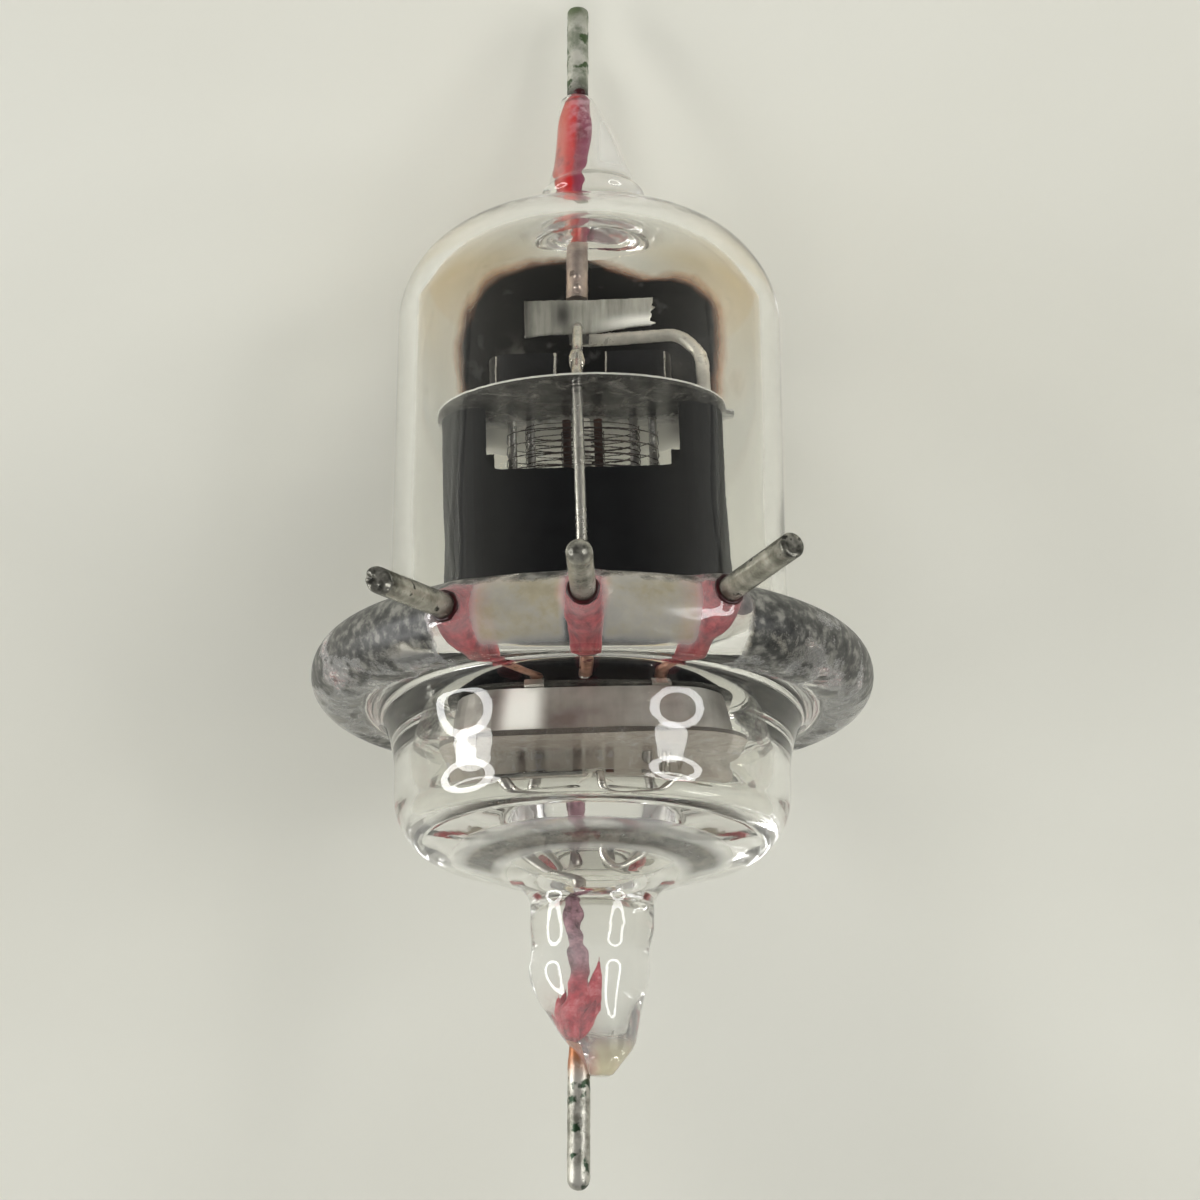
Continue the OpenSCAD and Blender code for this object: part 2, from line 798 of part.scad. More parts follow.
// The strap under the bottom mica joins the control grid's left rod to the bottom lead
module grid_strap() {
    low = rod_bottom - fit_gap - shield_t;
    color("dimgray") in_cage() translate([-3.6, -0.85, low]) cube([3.6 - control_x + rod_r, 1.05, shield_t]);
}

// Getter

// The flag is a thin folded plate that held the getter's metal
module getter_flag() {
    color("gainsboro") in_cage() translate([0.4 - flag_w / 2, flag_y, flag_z]) rotate([8, 0, 0])
        difference() {
            cube([flag_w, flag_t, flag_h]);
            translate([flag_w - 0.35, -1, -0.5]) rotate([0, 20, 0]) cube([1, 2, 1]);
        }
}

module getter_wire() {
    back = flag_y - fit_gap - getter_wire_r;
    color("silver") in_cage() wire(
        bent([[-0.2, getter_wire_y, middle_mica_top + fit_gap],
            [getter_hole_x, getter_wire_y, top_mica_z - 1],
            [getter_hole_x, getter_wire_y, top_mica_top + 0.4],
            [-0.1, back - 0.5, weld_z], [-0.05, back - 0.06, flag_z + 0.3]], 0.3),
        getter_wire_r
    );
}

// The film lies on the inside of the dome, over its back
module getter_film() {
    skin = shoulder_r - wall - fit_gap;
    color([0.15, 0.14, 0.14]) rest() rotate([0, 0, 90 - film_az]) rotate_extrude(angle = 2 * film_az)
        polygon(concat(
            arc([shoulder_y, shoulder_z], skin, 8, shoulder_end, 8),
            arc([shoulder_y, shoulder_z], skin - film_t, shoulder_end, 8, 8)
        ));
}

glass_envelope();
pin_front();
pin_left();
pin_right();
pin_rear_left();
pin_rear_right();
seal_front();
seal_left();
seal_right();
seal_rear_left();
seal_rear_right();
lead_front();
lead_left();
lead_right();
lead_rear_left();
lead_rear_right();
top_pin();
top_seal();
top_lead();
top_strip();
bottom_pin();
bottom_seal();
bottom_lead();
anode();
anode_rod_left();
anode_rod_right();
top_mica();
middle_mica();
bottom_mica();
top_shield();
lower_shield();
lead_clips();
cathode();
heater();
cathode_wire();
control_grid_rods();
control_grid_winding();
screen_grid_rods();
screen_grid_winding();
suppressor_grid_rods();
suppressor_grid_winding();
grid_strap();
getter_flag();
getter_wire();
getter_film();
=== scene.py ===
# %% [markdown]
# # An acorn tube on a sheet of paper
#
# A small glass vacuum tube lies on pale paper. Five pins leave the glass ring round its middle and
# one pin leaves each end. This lesson dresses the packed model: the hard pieces that already have
# their true shape get finishes, and the glass, the fine wires and the getter are made anew.
#
# The packed model is loaded first, because every new piece is placed by its frame.

# %% Load the frame
import math

import bmesh
import bpy
import numpy as np
from mathutils import Matrix, Vector, noise


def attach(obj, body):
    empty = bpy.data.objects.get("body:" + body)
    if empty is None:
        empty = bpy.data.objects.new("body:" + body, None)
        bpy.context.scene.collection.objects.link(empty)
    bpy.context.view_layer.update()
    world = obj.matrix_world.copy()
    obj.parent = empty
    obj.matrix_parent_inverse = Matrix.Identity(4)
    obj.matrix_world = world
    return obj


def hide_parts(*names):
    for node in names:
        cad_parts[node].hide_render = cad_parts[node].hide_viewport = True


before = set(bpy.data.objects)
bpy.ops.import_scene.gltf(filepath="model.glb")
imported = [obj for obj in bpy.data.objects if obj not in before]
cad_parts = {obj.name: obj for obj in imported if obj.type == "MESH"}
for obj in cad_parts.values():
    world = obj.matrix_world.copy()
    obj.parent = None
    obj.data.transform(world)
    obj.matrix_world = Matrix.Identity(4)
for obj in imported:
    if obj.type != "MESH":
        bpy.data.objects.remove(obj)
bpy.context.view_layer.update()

# %% [markdown]
# ## Two frames of the maker's own
#
# The tube is easiest to think of upright: x to the right, z up to the top pin, and y away from the
# three front pins, in millimetres. The real one lies on its rear pins and its shoulder, so one
# matrix lays it down. The cage of electrodes leans a little in the glass and has a matrix too.

# %% The upright frame and the leaning cage
BULB_R, WALL, SHOULDER_R, SHOULDER_Z = 7.15, 0.7, 3.6, 13.7
NECK_R, NECK_Z, DOME_Z, BEAD_END_Z = 1.9, 19.4, 17.7, 23.5
RING_R, RING_TUBE_R, CUP_R, CUP_LOW_R, CUP_TURN_R, CUP_Z = 8.7, 1.32, 7.2, 7.0, 2.5, 4.2
STEM_R, STEM_Z, STEM_END_Z, FLOOR_Z = 2.15, 8.15, -13.9, -7.8
PIN_R, PIN_REACH, REAR_AZ = 0.43, 14.2, 22.0
TOP_PIN_END, BOTTOM_PIN_END, TOP_OFF, BOTTOM_OFF = 27.6, -17.7, 0.6, 0.45
SEAL_START, SEAL_END, TOP_SEAL_END_Z, STEM_SEAL_END_Z = -2.2, 1.36, 23.42, -12.55

rear_y = (PIN_REACH - PIN_R) * math.cos(math.radians(REAR_AZ))
shoulder_y = BULB_R - SHOULDER_R
rest_angle = (math.atan2(rear_y - shoulder_y, SHOULDER_Z)
              - math.asin((SHOULDER_R - PIN_R) / math.hypot(rear_y - shoulder_y, SHOULDER_Z)))
lift = rear_y * math.cos(rest_angle) + PIN_R
shift = -(TOP_PIN_END + BOTTOM_PIN_END) / 2 * math.cos(rest_angle)
TUBE = (Matrix.Scale(0.001, 4) @ Matrix.Translation((0, shift, lift))
        @ Matrix.Rotation(-(math.pi / 2 + rest_angle), 4, "X"))
CAGE = TUBE @ Matrix.Translation((-0.05, 0, 0)) @ Matrix.Rotation(math.radians(-2), 4, "Y")
print("laid down by", round(90 + math.degrees(rest_angle), 3), "degrees, lifted by", round(lift, 3), "mm")

# %% [markdown]
# ## The camera
#
# The camera looks down on the tube from a hand's breadth away, tilted a little along it. It could
# be turned by hand, but three directions in the upright frame say the same and stay exact.

# %% The camera
scene = bpy.context.scene
VIEW_TILT = math.radians(17.5)
CAMERA_PLACE = (0.269, -81.96, -22.72)


def show(name, data):
    """Puts an object that holds this data into the scene."""
    made = bpy.data.objects.new(name, data)
    scene.collection.objects.link(made)
    return made


camera_data = bpy.data.cameras.new("camera")
camera_data.lens, camera_data.sensor_width = 71.13, 36.0
camera_data.clip_start, camera_data.clip_end = 0.001, 20.0
scene.camera = show("camera", camera_data)
turn = TUBE.to_3x3().normalized()
camera_right = turn @ Vector((1, 0, 0))
camera_up = turn @ Vector((0, -math.sin(VIEW_TILT), math.cos(VIEW_TILT)))
camera_back = -(turn @ Vector((0, math.cos(VIEW_TILT), math.sin(VIEW_TILT))))
placing = Matrix((camera_right, camera_up, camera_back)).transposed().to_4x4()
placing.translation = TUBE @ Vector(CAMERA_PLACE)
scene.camera.matrix_world = placing
scene.view_settings.view_transform = "Standard"
scene.cycles.max_bounces = scene.cycles.transmission_bounces = 36
scene.cycles.glossy_bounces = 20
scene.cycles.transparent_max_bounces = 24
print("camera at", [round(v, 4) for v in placing.translation])

# %% [markdown]
# ## Short ways to build a node tree
#
# The sky, the lamps, the finishes and the grids are all node trees. They could be wired by hand in
# the editor. Here a recipe holds one tree and adds to it, so that each finish reads as a few lines.
# Object coordinates are metres, so a noise scale of 1000 has features about a millimetre wide.

# %% A recipe for any node tree
class Recipe:
    """A node tree, emptied, and short ways to add to it."""

    def __init__(self, tree):
        self.tree = tree
        tree.nodes.clear()

    def put(self, kind, wires=None, **settings):
        """Adds a node, sets its options, and gives each input a value or joins it to an output."""
        made = self.tree.nodes.new(kind)
        for name, value in settings.items():
            setattr(made, name, value)
        for socket, value in (wires or {}).items():
            if isinstance(value, bpy.types.NodeSocket):
                self.tree.links.new(value, made.inputs[socket])
            else:
                made.inputs[socket].default_value = value
        return made

    def blend(self, factor, first, second):
        """A colour between two others."""
        first, second = [(*c, 1) if isinstance(c, tuple) else c for c in (first, second)]
        return self.put("ShaderNodeMix", {0: factor, 6: first, 7: second}, data_type="RGBA").outputs[2]

    def ramp(self, factor, stops, ease="LINEAR"):
        """A colour ramp from a list of places and greys or colours."""
        made = self.put("ShaderNodeValToRGB", {0: factor})
        band = made.color_ramp
        band.interpolation = ease
        while len(band.elements) < len(stops):
            band.elements.new(0.5)
        for element, (place, shade) in zip(band.elements, stops):
            element.position = place
            element.color = (*shade, 1) if isinstance(shade, tuple) else (shade, shade, shade, 1)
        return made.outputs[0]

    def maths(self, operation, first, second=0.0):
        """One sum on two numbers."""
        return self.put("ShaderNodeMath", {0: first, 1: second}, operation=operation).outputs[0]

    def plus(self, first, second):
        return self.maths("ADD", first, second)

    def times(self, first, second):
        return self.maths("MULTIPLY", first, second)

    def most(self, first, second):
        return self.maths("MAXIMUM", first, second)

    def vector(self, operation, first, second=(0, 0, 0)):
        """One sum on two vectors. Its outputs are the vector and the number."""
        return self.put("ShaderNodeVectorMath", {0: first, 1: second}, operation=operation).outputs

    def parts(self, vector):
        """A vector's three numbers."""
        return self.put("ShaderNodeSeparateXYZ", {0: vector}).outputs

    def stretch(self, value, low, high, first=0.0, last=1.0):
        """Spreads the numbers from low to high over those from first to last."""
        return self.put("ShaderNodeMapRange", {"Value": value, "From Min": low, "From Max": high,
                                               "To Min": first, "To Max": last}).outputs[0]


print("a recipe has:", [way for way in vars(Recipe) if way[0] != "_"])


# %% A recipe for a finish
FINISHES = {}


class Finish(Recipe):
    """A material's tree. spot is the place on the piece, in Object coordinates."""

    def __init__(self, name):
        self.name = name
        self.material = FINISHES[name] = bpy.data.materials.new(name)
        self.material.use_nodes = True
        super().__init__(self.material.node_tree)
        self.spot = self.put("ShaderNodeTexCoord").outputs["Object"]

    def cloud(self, scale, detail, rough=0.5, bend=0.0, where=None):
        """A noise over the piece."""
        return self.put("ShaderNodeTexNoise", {"Vector": where or self.spot, "Scale": scale, "Detail": detail,
                                               "Roughness": rough, "Distortion": bend}).outputs[0]

    def drawn_out(self, stretched):
        """Coordinates in which a noise runs on along the tube."""
        scale = (1.0, stretched, stretched)
        return self.put("ShaderNodeMapping", {"Vector": self.spot, "Scale": scale}).outputs[0]

    def ragged(self, value, cloud, amount):
        """A number shaken by a noise, so that what follows it has a ragged edge."""
        return self.plus(value, self.times(self.maths("SUBTRACT", cloud, 0.5), amount))

    def mark(self, name):
        """The number that each point of the piece carries under this name."""
        return self.put("ShaderNodeAttribute", attribute_name=name).outputs["Fac"]

    def bump(self, height, strength, distance=0.00005):
        wires = {"Height": height, "Strength": strength, "Distance": distance}
        return self.put("ShaderNodeBump", wires).outputs[0]

    def surface(self, colour, roughness, more):
        """The shader that every finish is built on. more holds its other inputs."""
        wires = {"Base Color": colour, "Roughness": roughness, **more}
        return self.put("ShaderNodeBsdfPrincipled", wires).outputs[0]

    def close(self, shader):
        """Joins the shader to the material's output."""
        self.put("ShaderNodeOutputMaterial", {"Surface": shader})
        print("finish:", self.name, "with", len(self.tree.nodes), "nodes")


print("a finish adds:", [way for way in vars(Finish) if way[0] != "_"])

# %% [markdown]
# ## Light and paper
#
# Two ring-shaped lamps stand low at the left and the right, a little towards the bottom pin, and
# leave hollow bright loops on the glass. Four soft panels light the scene and leave no reflection.
# The rest is a soft sky, dimmer upwards. What the glass shows of it draws the glass's edges.

# %% The sky
world = bpy.data.worlds.new("soft_sky")
scene.world = world
world.use_nodes = True
sky = Recipe(world.node_tree)
height = sky.parts(sky.put("ShaderNodeTexCoord").outputs["Generated"])["Z"]
reflected_shade = sky.ramp(height, [(0.0, (0.42, 0.42, 0.4)), (0.12, (0.3, 0.3, 0.29)),
                                    (0.34, (0.065, 0.065, 0.065)), (0.8, (0.03, 0.03, 0.03))])
through_shade = sky.ramp(height, [(0.0, (0.44, 0.43, 0.38)), (0.35, (0.42, 0.41, 0.37)),
                                  (0.68, (0.1, 0.1, 0.1))])
path = sky.put("ShaderNodeLightPath").outputs
shade = sky.blend(path["Is Transmission Ray"], reflected_shade, through_shade)
seen = sky.blend(path["Is Camera Ray"], shade, (0.68, 0.67, 0.6))
sky_light = sky.put("ShaderNodeBackground", {"Color": seen, "Strength": 1.0})
sky.put("ShaderNodeOutputWorld", {"Surface": sky_light.outputs[0]})
print("sky nodes:", len(sky.tree.nodes))


# %% The lamps
def stand(name, data, toward, distance):
    """Stands a lamp in a direction of the upright frame, facing the tube's middle."""
    away = (turn @ Vector(toward)).normalized()
    facing = away.to_track_quat("Z", "Y").to_matrix().to_4x4()
    lamp = show(name, data)
    lamp.matrix_world = Matrix.Translation(TUBE @ Vector((0, 0, 3)) + away * distance) @ facing
    return lamp


def ring_lamp(name, toward, size, power, hole=0.68):
    """A disc lamp whose middle gives no light."""
    data = bpy.data.lights.new(name, "AREA")
    data.shape, data.size, data.energy, data.use_nodes = "DISK", size, power, True
    tree = Recipe(data.node_tree)
    place = tree.put("ShaderNodeNewGeometry").outputs["Parametric"]
    spoke = tree.vector("SUBTRACT", place, (0.5, 0.5, 0.0))[0]
    reach = tree.vector("LENGTH", tree.vector("MULTIPLY", spoke, (1, 1, 0))[0])["Value"]
    glow = tree.put("ShaderNodeEmission", {"Strength": tree.maths("GREATER_THAN", reach, hole / 2)})
    tree.put("ShaderNodeOutputLight", {"Surface": glow.outputs[0]})
    return stand(name, data, toward, 0.26)


def panel(name, toward, wide, high, power):
    """A soft rectangular lamp that neither mirrors nor glass shows."""
    data = bpy.data.lights.new(name, "AREA")
    data.shape, data.size, data.size_y, data.energy = "RECTANGLE", wide, high, power
    lamp = stand(name, data, toward, 0.6)
    lamp.visible_glossy = lamp.visible_transmission = False
    return lamp


ring_lamp("left_ring_lamp", (-0.95, -0.25, -0.125), 0.18, 0.9)
ring_lamp("right_ring_lamp", (0.73, -0.67, -0.125), 0.15, 0.6)
panel("left_window_panel", (-0.42, -0.76, 0.56), 0.16, 0.12, 0.8)
panel("right_window_panel", (0.36, -0.78, 0.54), 0.16, 0.12, 0.46)
panel("ceiling_panel", (0.1, -1.0, 0.1), 0.5, 0.5, 0.1)
panel("low_panel", (0.0, -0.8, -0.6), 0.5, 0.4, 1.13)


# %% The paper
def placed(points, place):
    """Points moved by a matrix."""
    return (np.c_[np.array(points, float), np.ones(len(points))] @ np.array(place).T)[:, :3]


def link_mesh(name, points, faces, smooth=True, place=TUBE):
    """A mesh object at the origin, from points in the upright frame or another one."""
    mesh = bpy.data.meshes.new(name)
    mesh.from_pydata([tuple(p) for p in placed(points, place)], [], faces)
    mesh.validate()
    if smooth:
        mesh.polygons.foreach_set("use_smooth", [True] * len(mesh.polygons))
    return show(name, mesh)


corners = [(-1.5, -1.5, 0), (1.5, -1.5, 0), (1.5, 1.5, 0), (-1.5, 1.5, 0)]
paper = link_mesh("paper", corners, [(0, 1, 2, 3)], False, Matrix.Identity(4))
sheet = Finish("paper")
fibre = sheet.ramp(sheet.cloud(28.0, 3.0), [(0.3, (0.70, 0.69, 0.605)), (0.7, (0.735, 0.73, 0.65))])
sheet.close(sheet.surface(fibre, 0.9, {"Specular IOR Level": 0.1}))
paper.data.materials.append(sheet.material)

# %% [markdown]
# ## Finishes
#
# Nothing here was ever polished, so each finish is mostly variation: draw marks, tarnish, heat
# tints and a few darker spots. A photograph of metal could be wrapped round each piece, but noise
# on Object coordinates has no seams and follows every bend.

# %% Bare metal
def metal_finish(name, light, dark, spots, rough, grain, spot_size, spot_level, metallic=0.9):
    """Nickel or copper with cloudy tarnish and darker spots."""
    r = Finish(name)
    cloud = r.cloud(grain, 5.0, 0.62)
    stained = r.ramp(r.cloud(spot_size, 3.0), [(spot_level, 0.0), (spot_level + 0.07, 1.0)])
    colour = r.blend(stained, r.ramp(cloud, [(0.36, dark), (0.62, light)]), spots)
    roughness = r.stretch(cloud, 0.3, 0.7, rough + 0.14, rough - 0.08)
    r.close(r.surface(colour, roughness, {"Metallic": metallic, "Normal": r.bump(cloud, 0.4)}))


metal_finish("lead_wire", (0.62, 0.36, 0.26), (0.34, 0.19, 0.14), (0.12, 0.05, 0.05), 0.3, 1200, 1700, 0.62)
metal_finish("pink_metal", (0.6, 0.5, 0.46), (0.36, 0.3, 0.28), (0.16, 0.13, 0.12), 0.36, 1200, 1900, 0.66)
metal_finish("bright_nickel", (0.8, 0.78, 0.73), (0.5, 0.48, 0.44), (0.24, 0.22, 0.2), 0.2, 1100, 1500, 0.7)
metal_finish("dull_nickel", (0.24, 0.235, 0.225), (0.1, 0.1, 0.1), (0.04, 0.035, 0.035), 0.42, 1300, 1600,
             0.64)
metal_finish("nickel_rod", (0.6, 0.58, 0.54), (0.33, 0.315, 0.3), (0.14, 0.12, 0.11), 0.28, 1000, 1500, 0.66)
metal_finish("bent_nickel", (0.6, 0.58, 0.52), (0.4, 0.38, 0.34), (0.17, 0.15, 0.13), 0.3, 900, 1500, 0.68,
             0.35)
metal_finish("fine_wire", (0.16, 0.135, 0.12), (0.07, 0.055, 0.05), (0.04, 0.03, 0.03), 0.35, 1500, 1500, 0.7)
metal_finish("rust_rod", (0.17, 0.1, 0.08), (0.07, 0.04, 0.035), (0.03, 0.02, 0.02), 0.4, 1400, 1500, 0.66)


# %% Carbon, oxide and paste
def coated_finish(name, light, dark, rough, grain, bump, metallic=0.0, shine=0.5):
    """A coating with no shine of its own: oxide, carbon or a chalky paste."""
    r = Finish(name)
    cloud = r.cloud(grain, 6.0, 0.7)
    colour = r.ramp(cloud, [(0.35, dark), (0.68, light)])
    r.close(r.surface(colour, rough, {"Metallic": metallic, "Specular IOR Level": shine,
                                      "Normal": r.bump(cloud, bump, 0.00003)}))


coated_finish("black_anode", (0.004, 0.0045, 0.005), (0.0015, 0.0015, 0.002), 0.6, 1600, 0.3, 0.0, 0.06)
coated_finish("dark_shield", (0.012, 0.012, 0.013), (0.004, 0.004, 0.004), 0.45, 1200, 0.3, 0.1, 0.2)
coated_finish("copper_clad", (0.62, 0.085, 0.095), (0.17, 0.006, 0.018), 0.42, 2900, 0.9)
coated_finish("copper_root", (0.05, 0.006, 0.007), (0.014, 0.003, 0.004), 0.35, 1800, 0.4)
coated_finish("white_coating", (0.82, 0.79, 0.7), (0.6, 0.57, 0.5), 0.8, 1800, 0.6)


# %% The oxide in the stem
def stem_oxide():
    """Brown and mauve where the wire is bare, red flakes where the oxide spread."""
    r = Finish("stem_oxide")
    grain = r.cloud(1900.0, 6.0, 0.75)
    bare = r.ramp(grain, [(0.38, (0.07, 0.035, 0.04)), (0.62, (0.34, 0.19, 0.22))])
    flakes = r.ramp(grain, [(0.36, (0.15, 0.012, 0.02)), (0.52, (0.36, 0.03, 0.045)),
                            (0.68, (0.56, 0.2, 0.21))])
    r.close(r.surface(r.blend(r.mark("fan"), bare, flakes), 0.5, {"Normal": r.bump(grain, 0.9)}))


stem_oxide()


# %% [markdown]
# ### The lower shield
#
# The shield is rolled nickel that was heated: satin, with brown tints. One pale stripe is a painted
# highlight where it would catch the light. A plain metal would only mirror the dim sky, so the
# highlight is painted into its colour, and it is less metallic there.

# %% The satin lower shield
def satin_shield():
    """Rolled nickel with brown heat tints: satin along the roll, cloudy across it. A pale stripe is a painted
    highlight.
    """
    r = Finish("grey_shield")
    lines = r.cloud(5200.0, 3.0, where=r.drawn_out(0.12))
    base = r.ramp(r.cloud(420.0, 4.0), [(0.34, (0.33, 0.27, 0.25)), (0.48, (0.5, 0.465, 0.42)),
                                        (0.66, (0.7, 0.68, 0.63))])
    rolled = r.blend(r.times(lines, 0.35), base, (0.22, 0.2, 0.185))
    # The stripe is a painted highlight: a pale vertical band where the light would catch the shield.
    aside = r.maths("ABSOLUTE", r.plus(r.parts(r.spot)["X"], 0.0024))
    painted_highlight = r.ramp(r.times(aside, 500.0), [(0.16, 1.0), (0.5, 0.0)], "EASE")
    colour = r.blend(r.times(painted_highlight, 0.95), rolled, (0.97, 0.96, 0.92))
    r.close(r.surface(colour, 0.34, {"Metallic": r.stretch(painted_highlight, 0.0, 1.0, 0.75, 0.15),
                                     "Normal": r.bump(lines, 0.25)}))


satin_shield()


# %% [markdown]
# ### Mica
#
# The discs that hold the cage are split mica: clear flakes, dark at the cut edge, with a painted
# highlight along the top of that edge. The getter smoked their front half; behind it the upper discs
# are drawn pale and opaque. Alpha lets the rods show through, which is lighter to render than true
# clear layers, and a normal that lies in the disc tells the edge from the face.

# %% Mica
def mica_finish(name, clear, smoke, edge, level, shelter):
    """Mica splits into clear flakes. Its front half was smoked, the rest is drawn pale, and the top of the
    cut edge carries a painted highlight.
    """
    r = Finish(name)
    cloud = r.cloud(1300.0, 7.0, 0.72, 0.6)
    backward = CAGE.to_3x3().normalized() @ Vector((0, 1, 0))
    across = CAGE.to_3x3().normalized() @ Vector((0, 0, 1))
    depth = r.vector("DOT_PRODUCT", r.spot, backward)["Value"]
    depth = r.maths("SUBTRACT", depth, CAGE.translation.dot(backward))
    clean = r.stretch(r.ragged(depth, cloud, 0.0024), -0.0005, 0.0005, 0.0, shelter)
    normal = r.put("ShaderNodeNewGeometry").outputs["True Normal"]
    facing = r.vector("DOT_PRODUCT", normal, across)["Value"]
    height = r.vector("DOT_PRODUCT", r.spot, across)["Value"]
    top_edge = max(v.co.dot(across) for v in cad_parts["top_mica"].data.vertices)
    rim = r.maths("LESS_THAN", r.maths("ABSOLUTE", facing), 0.5)
    # A painted highlight: a thin pale line along the top of the cut edge.
    painted_rim_highlight = r.times(r.maths("GREATER_THAN", height, top_edge - 0.00007), rim)
    bright = tuple(min(1.0, 2.4 * c) for c in clear)
    colour = r.blend(clean, r.ramp(cloud, [(0.38, smoke), (0.55, clear), (0.66, bright)]), (0.9, 0.88, 0.8))
    edged = r.blend(painted_rim_highlight, r.blend(r.times(rim, 0.92), colour, edge), (0.5, 0.49, 0.45))
    veil = r.most(r.ramp(cloud, [(0.35, min(level + 0.3, 1.0)), (0.65, level)]), clean)
    covered = r.most(veil, r.times(rim, 0.85))
    r.close(r.surface(edged, 0.22, {"Normal": r.bump(cloud, 0.25), "Alpha": covered}))


mica_finish("mica", (0.1, 0.096, 0.086), (0.012, 0.012, 0.0115), (0.035, 0.034, 0.03), 0.8, 1.0)
mica_finish("brown_mica", (0.6, 0.53, 0.45), (0.38, 0.31, 0.26), (0.03, 0.025, 0.022), 0.42, 0.0)

# %% [markdown]
# ## The glass
#
# The bulb was blown, the ring and the lower cup were pressed together hot, and the bead and the
# stem were drawn out by hand, so the outline is smooth everywhere. Subdivision could round a rough
# cage, but circles and fillets give the true outline. One profile is turned round the axis. Its
# two ends wander off the axis, and the glass climbs a little up each ring pin.

# %% Outline helpers
def arc(centre, radius, start, end, count):
    """Points on a circle, from a start angle to an end angle in degrees."""
    angles = np.radians(np.linspace(start, end, count))
    return [(centre[0] + radius * math.cos(a), centre[1] + radius * math.sin(a)) for a in angles]


HOLLOW_R = 0.8


def hollow_z(width):
    """How far above the ring's middle the hollow beside a wall of this radius has its centre."""
    return math.sqrt((RING_TUBE_R + HOLLOW_R) ** 2 - (RING_R - width - HOLLOW_R) ** 2)


def smooth_rows(rows, count):
    """A smooth run of numbers through a few given rows."""
    rows = np.array(rows, float)
    padded = np.vstack([2 * rows[0] - rows[1], rows, 2 * rows[-1] - rows[-2]])
    out = []
    for u in (k / (count - 1) * (len(rows) - 1) for k in range(count)):
        i = min(int(u), len(rows) - 2)
        t = u - i
        a, b, c, d = padded[i:i + 4]
        square, cube = 2 * a - 5 * b + 4 * c - d, 3 * b - a - 3 * c + d
        out.append(0.5 * (2 * b + (c - a) * t + square * t * t + cube * t ** 3))
    return out


print("the bulb's hollow stands at", round(hollow_z(BULB_R), 3), "mm")

# %% The two drawn-out ends
# Each circle is its offset to the right, its height and its radius.
stem_rows = [(0.27, -13.9, 0.2), (0.27, -13.85, 0.44), (0.31, -13.5, 0.68), (0.34, -13.2, 0.9),
             (0.33, -12.85, 1.14), (0.22, -12.45, 1.35), (0.08, -11.86, 1.58), (-0.05, -11.3, 1.83),
             (-0.1, -10.75, 2.02), (-0.1, -10.3, 2.09), (-0.08, -9.95, 2.06), (-0.06, -9.6, 2.04),
             (-0.02, -9.2, 2.1), (0.0, -8.9, 2.15)]
bead_rows = [(0.0, 18.9, 1.9), (0.0, 19.1, 1.97), (0.0, 19.28, 1.97), (0.0, 19.44, 1.86),
             (-0.02, 19.6, 1.72), (-0.05, 19.85, 1.63), (-0.06, 20.1, 1.56), (-0.1, 20.5, 1.42),
             (-0.26, 21.7, 1.14), (-0.46, 22.6, 0.9), (-0.6, 23.3, 0.66), (-0.6, 23.49, 0.5)]
print("circles of the stem:", len(stem_rows), "and of the bead:", len(bead_rows))

# %% The wall and the cavity
# The cup's waist turns into the ring by a fillet whose radius follows from the two.
WAIST_R, WAIST_TURN, WAIST_Z = 4.3, 22.0, -3.5
lean = math.radians(WAIST_TURN)
waist_end = (CUP_LOW_R + WAIST_R * (1 - math.cos(lean)), WAIST_Z + WAIST_R * math.sin(lean))
inward = (math.cos(lean), -math.sin(lean))
from_ring = (waist_end[0] - RING_R, waist_end[1])
FILLET_R = ((RING_TUBE_R ** 2 - from_ring[0] ** 2 - from_ring[1] ** 2)
            / (2 * (from_ring[0] * inward[0] + from_ring[1] * inward[1] - RING_TUBE_R)))
fillet_centre = (waist_end[0] + FILLET_R * inward[0], waist_end[1] + FILLET_R * inward[1])
ring_start = math.degrees(math.atan2(fillet_centre[1], fillet_centre[0] - RING_R))
ring_end = math.degrees(math.atan2(hollow_z(BULB_R), BULB_R + HOLLOW_R - RING_R))
wall_profile = (
    arc((STEM_R + 0.9, -STEM_Z), 0.9, 184, 100, 12)
    + arc((CUP_LOW_R - CUP_TURN_R, -CUP_Z), CUP_TURN_R, -76, 0, 22)
    + arc((CUP_LOW_R + WAIST_R, WAIST_Z), WAIST_R, 180, 180 - WAIST_TURN, 14)[1:]
    + arc(fillet_centre, FILLET_R, 180 - WAIST_TURN, 180 + ring_start, 10)[1:]
    + arc((RING_R, 0), RING_TUBE_R, ring_start, ring_end, 56)[1:]
    + arc((BULB_R + HOLLOW_R, hollow_z(BULB_R)), HOLLOW_R, 180 + ring_end, 180, 10)
    + [(BULB_R, z) for z in (3.5, 5.5, 7.5, 9.5, 11.6)]
    + arc((shoulder_y, SHOULDER_Z), SHOULDER_R, 0, 74, 24)
    + arc((NECK_R + 1.1, NECK_Z - 0.5), 1.1, 250, 184, 10)
)
outer = smooth_rows(stem_rows, 26) + [(0.0, z, r) for r, z in wall_profile] + smooth_rows(bead_rows, 26)
